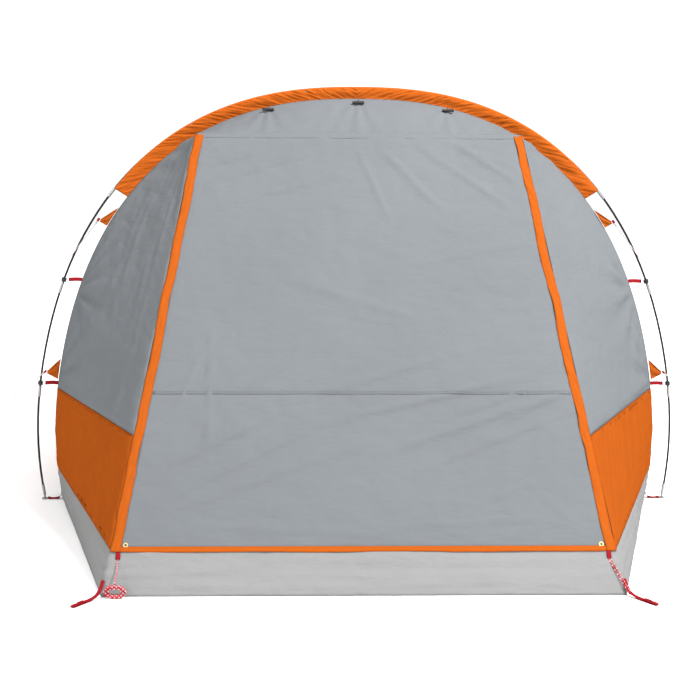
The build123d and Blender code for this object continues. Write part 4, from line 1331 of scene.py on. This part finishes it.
class TENT_OT_cabin(bpy.types.Operator):
    """The hung inner cabin with its doorway and door"""
    bl_idname = "tent.cabin"
    bl_label = "Cabin"

    def execute(self, context):
        sizes = context.scene.tent_sizes
        stations = 24
        runs = []
        for i in range(stations + 1):
            y = CABIN_FRONT + (CABIN_REAR - CABIN_FRONT) * i / stations
            half, top = cabin_size(y)
            start = angle_at_z(top, 0.012)
            runs.append(arch_run(half, top, start, math.pi - start, 0.0, 90))

        def skin(u, v):
            place = u * stations
            i = min(int(place), stations - 1)
            f = place - i
            (x0, z0), (x1, z1) = runs[i](v), runs[i + 1](v)
            return Vector((x0 + (x1 - x0) * f, CABIN_FRONT + (CABIN_REAR - CABIN_FRONT) * u,
                           z0 + (z1 - z0) * f))

        def droop(u, v, p):
            return -0.012 * math.sin(math.pi
                                     * u) ** 2 - 0.004 * abs(math.sin(u * 9.4)) + crumpled(sizes.crumple,
                                                                                           91.0)(u, v, p)

        piece = cloth_sheet("cabin_shell", skin, tunnel_out, droop, size=(110, 190))
        hang(piece, "cabin_cloth", nodes=["cabin_shell"])
        opening = rounded(CABIN_DOOR_HALF, CABIN_DOOR_SILL, CABIN_DOOR_TOP, CABIN_CORNER)
        for name, y, way in (("cabin_front_wall", CABIN_FRONT, -1), ("cabin_rear_wall", CABIN_REAR, 1)):
            half, top = cabin_size(y)
            start = angle_at_z(top, 0.012)
            run = arch_run(half, top, start, math.pi - start)

            def wall(u, v, y=y, run=run, top=top):
                x, z = run(1 - u)
                if y == CABIN_REAR:
                    return Vector((x, y, 0.012 + (z - 0.012) * v))
                angle = math.pi * (1 - u)
                inner_z = min(max(CABIN_DOOR_SILL
                                  + (CABIN_DOOR_TOP - CABIN_DOOR_SILL) * math.sin(angle) ** 0.75,
                                  CABIN_DOOR_SILL), CABIN_DOOR_TOP)
                inner = math.copysign(opening(inner_z), x) if abs(x) > 0.02 else 0.0
                inner = max(min(inner, opening(inner_z)), -opening(inner_z)) * min(1.0,
                        abs(math.cos(angle)) * 2.2)
                return Vector((inner + (x - inner) * v, y, inner_z + (z - inner_z) * v))

            def ruffle(u, v, p, seed=y):
                return crumpled(sizes.crumple * 1.2, 95.0 + seed)(u, v, p)

            piece = cloth_sheet(name, wall, lambda p, way=way: Vector((0, way, 0)), ruffle, size=(150, 40))
            hang(piece, "cabin_cloth")
        leaf_half = rounded(CABIN_DOOR_HALF - 0.003, CABIN_DOOR_SILL + 0.003, CABIN_DOOR_TOP - 0.003,
                            CABIN_CORNER - 0.003)

        def leaf(u, v):
            z = CABIN_DOOR_SILL + 0.0032 + (CABIN_DOOR_TOP - CABIN_DOOR_SILL - 0.0064) * v
            return Vector(((2 * u - 1) * leaf_half(z), CABIN_FRONT, z))

        piece = cloth_sheet("cabin_door", leaf, lambda p: Vector((0, -1, 0)),
                            crumpled(sizes.crumple * 1.2, 99.0),
                            size=(80, 120))
        hang(piece, "cabin_cloth", "cabin_door", ["cabin_door"])
        return {"FINISHED"}


# ---- Webbing ----
class TENT_OT_webbing(bpy.types.Operator):
    """Clip straps, foot straps, peg loops and sill loops"""
    bl_idname = "tent.webbing"
    bl_label = "Webbing"

    def execute(self, context):
        sizes = context.scene.tent_sizes
        clip_straps, foot_straps = [], []
        for hoop in range(3):
            half, top = fly(hoop)
            for height in CLIP_HEIGHTS:
                z = height * HOOP_TOP[hoop] / HOOP_TOP[0]
                rod = arch_xz(HOOP_HALF[hoop], HOOP_TOP[hoop], angle_at_z(HOOP_TOP[hoop], z))[0]
                skin = arch_xz(half, top, angle_at_z(top, z))[0]
                for side, hand in SIDES:
                    y = HOOP_Y[hoop]
                    path = [Vector((side * (skin + d * (rod - skin)), y, z + s)) for d, s in
                            ((-0.02, 0.0), (0.18, 0.0010), (0.42, 0.0014), (0.66, 0.0006), (0.86, 0.0))]
                    clip_straps.append(strap("strap", path, Vector((0, 0.35, 1)), sizes.webbing))
                    loop = [Vector((side * (rod - 0.0105), y + 0.0045 * k, z)) for k in (-1, -0.6, 0, 0.6,
                                                                                         1)]
                    clip_straps.append(strap("strap", loop, Vector((0, 0, 1)), sizes.webbing, 0.0018))
            foot = arch_xz(HOOP_HALF[hoop], HOOP_TOP[hoop], angle_at_z(HOOP_TOP[hoop], 0.016))[0]
            base = arch_xz(half, top, angle_at_z(top, 0.0044))[0]
            for side, hand in SIDES:
                y = HOOP_Y[hoop]
                span = foot - 0.0126 - base
                path = [Vector((side * (base + span * d), y, z)) for d, z in
                        ((0.02, 0.0300), (0.10, 0.0170), (0.28, 0.0080), (0.60, 0.0032), (0.97, 0.0022),
                         (1.12, 0.0052),
                         (1.22, 0.0060))]
                foot_straps.append(strap("strap", path, Vector((0, 1, 0)), 0.018))
                path = [Vector((side * (base + span * d), y, z)) for d, z in
                        ((0.30, 0.0020), (0.60, 0.0015), (0.97, 0.0010), (1.14, 0.0012), (1.22, 0.0030))]
                foot_straps.append(strap("strap", path, Vector((0, 1, 0)), 0.018))
        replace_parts(join("clip_straps", clip_straps), "clip_straps")
        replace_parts(join("foot_straps", foot_straps), "foot_straps")

        loops = []
        for end in (FRONT, REAR):
            for side, hand in SIDES:
                corner = Vector((side * (end.half_at(0) + end.out), end.y_at(0), 0))
                tip = Vector((corner.x + side * PEG_LOOP_SPLAY, end.y_at(0) + end.facing * PEG_LOOP_REACH,
                              0))
                run = (tip - corner).normalized()
                across = Vector((-run.y, run.x, 0))
                rise = corner + Vector((-side * 0.004, -end.facing * 0.028, 0.046))
                path = [rise, corner + run * 0.010 + Vector((0, 0, 0.016)),
                        corner + run * 0.038 + Vector((0, 0, 0.0062)),
                        corner + run * 0.075 + Vector((0, 0, 0.0052)),
                        corner + run * 0.108 + Vector((0, 0, 0.0066)),
                        corner + run * 0.1225 + Vector((0, 0, 0.0040))]
                loops.append(strap("strap", path, across, sizes.webbing))
                path = [corner + run * 0.040 + Vector((0, 0, 0.0026)),
                        corner + run * 0.075 + Vector((0, 0, 0.0014)),
                        corner + run * 0.112 + Vector((0, 0, 0.0014)),
                        corner + run * 0.1230 + Vector((0, 0, 0.0034))]
                loops.append(strap("strap", path, across, sizes.webbing))
                fold_path = [corner + run * s + Vector((0, 0, 0.0085)) for s in (0.070, 0.082, 0.094)]
                loops.append(strap("strap", fold_path, across, sizes.webbing * 0.94))
        low = FRONT.rise(STRIP_TOP) - 0.031
        for side, hand in SIDES:
            x = side * SILL_LOOP_X
            path = [FRONT.on(x, low + s, off) for s, off in
                    ((0.0335, 0.0034), (0.022, 0.0044), (0.010, 0.0058), (0.0005, 0.0050),
                     (-0.0012, 0.0030),
                     (0.0040, 0.0016), (0.020, 0.0012))]
            loops.append(strap("strap", path, Vector((1, 0, 0)), sizes.webbing * 0.95))
        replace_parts(join("webbing_loops", loops), "webbing_loops")
        return {"FINISHED"}


# ---- Guy points ----
class TENT_OT_guys(bpy.types.Operator):
    """Triangular guy tabs with their loops, and the knots of the guylines"""
    bl_idname = "tent.guys"
    bl_label = "Guy points"

    def execute(self, context):
        sizes = context.scene.tent_sizes
        tabs, tips = [], []
        knots = bmesh.new()
        half, top = fly(0)
        for level, height in zip(("upper", "lower"), GUY_HEIGHTS):
            angle = angle_at_z(top, height)
            x, z = arch_out(half, top, angle, 0.0003)
            x1, z1 = arch_out(half, top, angle + 0.01, 0.0003)
            along = Vector((x1 - x, 0, z1 - z)).normalized()
            start, end = GUY_ROUTES[level]
            for side, hand in SIDES:
                base = Vector((x, GUY_Y, z))
                tip = base + Vector((TAB_REACH, 0, -TAB_DROP))
                low, high = base - along * TAB_HALF_BASE, base + along * TAB_HALF_BASE

                def cloth(u, v, low=low, high=high, tip=tip, side=side, along=along):
                    edge = low.lerp(high, u)
                    p = edge.lerp(tip + (u - 0.5) * 0.010 * along, v * 0.985)
                    p.y += 0.0030 * math.sin(u * 9.0 + v * 2.0) * (1 - 0.6 * v) * smooth(v, 0.0, 0.2)
                    p.y += 0.0012 * noise.noise(Vector((u * 9, v * 4, side)))
                    return Vector((side * p.x, p.y, p.z))

                piece = cloth_sheet("tab", cloth, lambda p: Vector((0, -1, 0)), size=(30, 26),
                                    thickness=0.0012)
                # The tab takes the lighter orange of painted light.
                tabs.append(hang(piece, "fly_orange", finish="flap"))
                a = Vector((side * start.x, start.y, start.z))
                b = Vector((side * end.x, end.y, end.z))
                pull = (b - a).normalized()
                path = [a - pull * 0.012 + Vector((0, 0.0036, 0)),
                        a - pull * 0.004 + Vector((0, 0.0030, 0)),
                        a + pull * 0.0012, a - pull * 0.004 - Vector((0, 0.0030, 0)),
                        a - pull * 0.012 - Vector((0, 0.0036, 0))]
                tips.append(strap("strap", path, pull.cross(Vector((0, 1, 0))), 0.009, 0.0012))
                for s in (0.004, 0.0072, 0.0104, 0.0136):
                    add_ring(knots, a + pull * s, pull + Vector((0, 0.12, 0)), 0.0026, 0.0015, 14, 8)
                for s in (0.012, 0.0152, 0.0184):
                    add_ring(knots, b - pull * s, pull + Vector((0, -0.12, 0)), 0.0026, 0.0015, 14, 8)
                stake = Vector((b.x + side * 0.0052, b.y, b.z + 0.001))
                add_ring(knots, stake, (0, 0, 1), 0.0046, 0.0015, 20, 8)
        tabs = join("guy_tabs", tabs)
        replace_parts(tabs, "guy_tabs")
        join("guy_tab_loops", tips)
        knots = mesh_piece("guyline_knots", knots)
        put_on(knots, "guy_cord")
        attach(knots, "tent")
        return {"FINISHED"}


# ---- Hardware ----
KEPT = {
    "pole_rod": ("front_pole_rods", "middle_pole_rods", "rear_pole_rods"),
    "ferrule": ("pole_ferrules", "foot_ring_pins"),
    "elastic": ("pole_shock_cords", "toggle_loops"),
    "plastic_black": ("pole_clips", "toggle_left", "toggle_middle", "toggle_right", "zip_slider_left",
                      "zip_slider_right", "guy_runner_upper_left", "guy_runner_upper_right",
                      "guy_runner_lower_left",
                      "guy_runner_lower_right"),
    "eyelet_brass": ("door_eyelets",),
    "peg_steel": ("guyline_pegs",),
}


class TENT_OT_hardware(bpy.types.Operator):
    """Finishes of the poles, ferrules, clips, toggles, eyelets and pegs"""
    bl_idname = "tent.hardware"
    bl_label = "Hardware"

    def execute(self, context):
        for slot, names in KEPT.items():
            for name in names:
                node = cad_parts[name]
                if not node.material_slots:
                    node.data.materials.append(None)
                for place in node.material_slots:
                    place.link = "OBJECT"
                    place.material = finish_of(slot)
        return {"FINISHED"}


STEPS = ("stage", "cords", "sleeves", "bays", "front_sides", "front_door", "zips", "rear_end",
         "groundsheet", "cabin",
         "webbing", "guys", "hardware")


class TENT_PT_panel(bpy.types.Panel):
    """Lists the steps that make the tent"""
    bl_idname = "TENT_PT_panel"
    bl_label = "Tunnel tent"
    bl_space_type = "VIEW_3D"
    bl_region_type = "UI"
    bl_category = "Tent"

    def draw(self, context):
        for group in (context.scene.tent_sizes, context.scene.tent_colours):
            for name in group.bl_rna.properties.keys():
                if name not in ("rna_type", "name"):
                    self.layout.prop(group, name)
        for step in STEPS:
            self.layout.operator(f"tent.{step}")


CLASSES = (TentSizes, TentColours, TENT_OT_stage, TENT_OT_cords, TENT_OT_sleeves, TENT_OT_bays,
           TENT_OT_front_sides,
           TENT_OT_front_door, TENT_OT_zips, TENT_OT_rear_end, TENT_OT_groundsheet, TENT_OT_cabin,
           TENT_OT_webbing,
           TENT_OT_guys, TENT_OT_hardware, TENT_PT_panel)


def register():
    for item in CLASSES:
        bpy.utils.register_class(item)
    bpy.types.Scene.tent_sizes = PointerProperty(type=TentSizes)
    bpy.types.Scene.tent_colours = PointerProperty(type=TentColours)


def unregister():
    del bpy.types.Scene.tent_sizes
    del bpy.types.Scene.tent_colours
    for item in reversed(CLASSES):
        bpy.utils.unregister_class(item)


def main():
    """Makes the tent."""
    register()
    for step in STEPS:
        if getattr(bpy.ops.tent, step)() != {"FINISHED"}:
            raise RuntimeError(f"the step {step} did not finish")


if __name__ == "__main__":
    main()
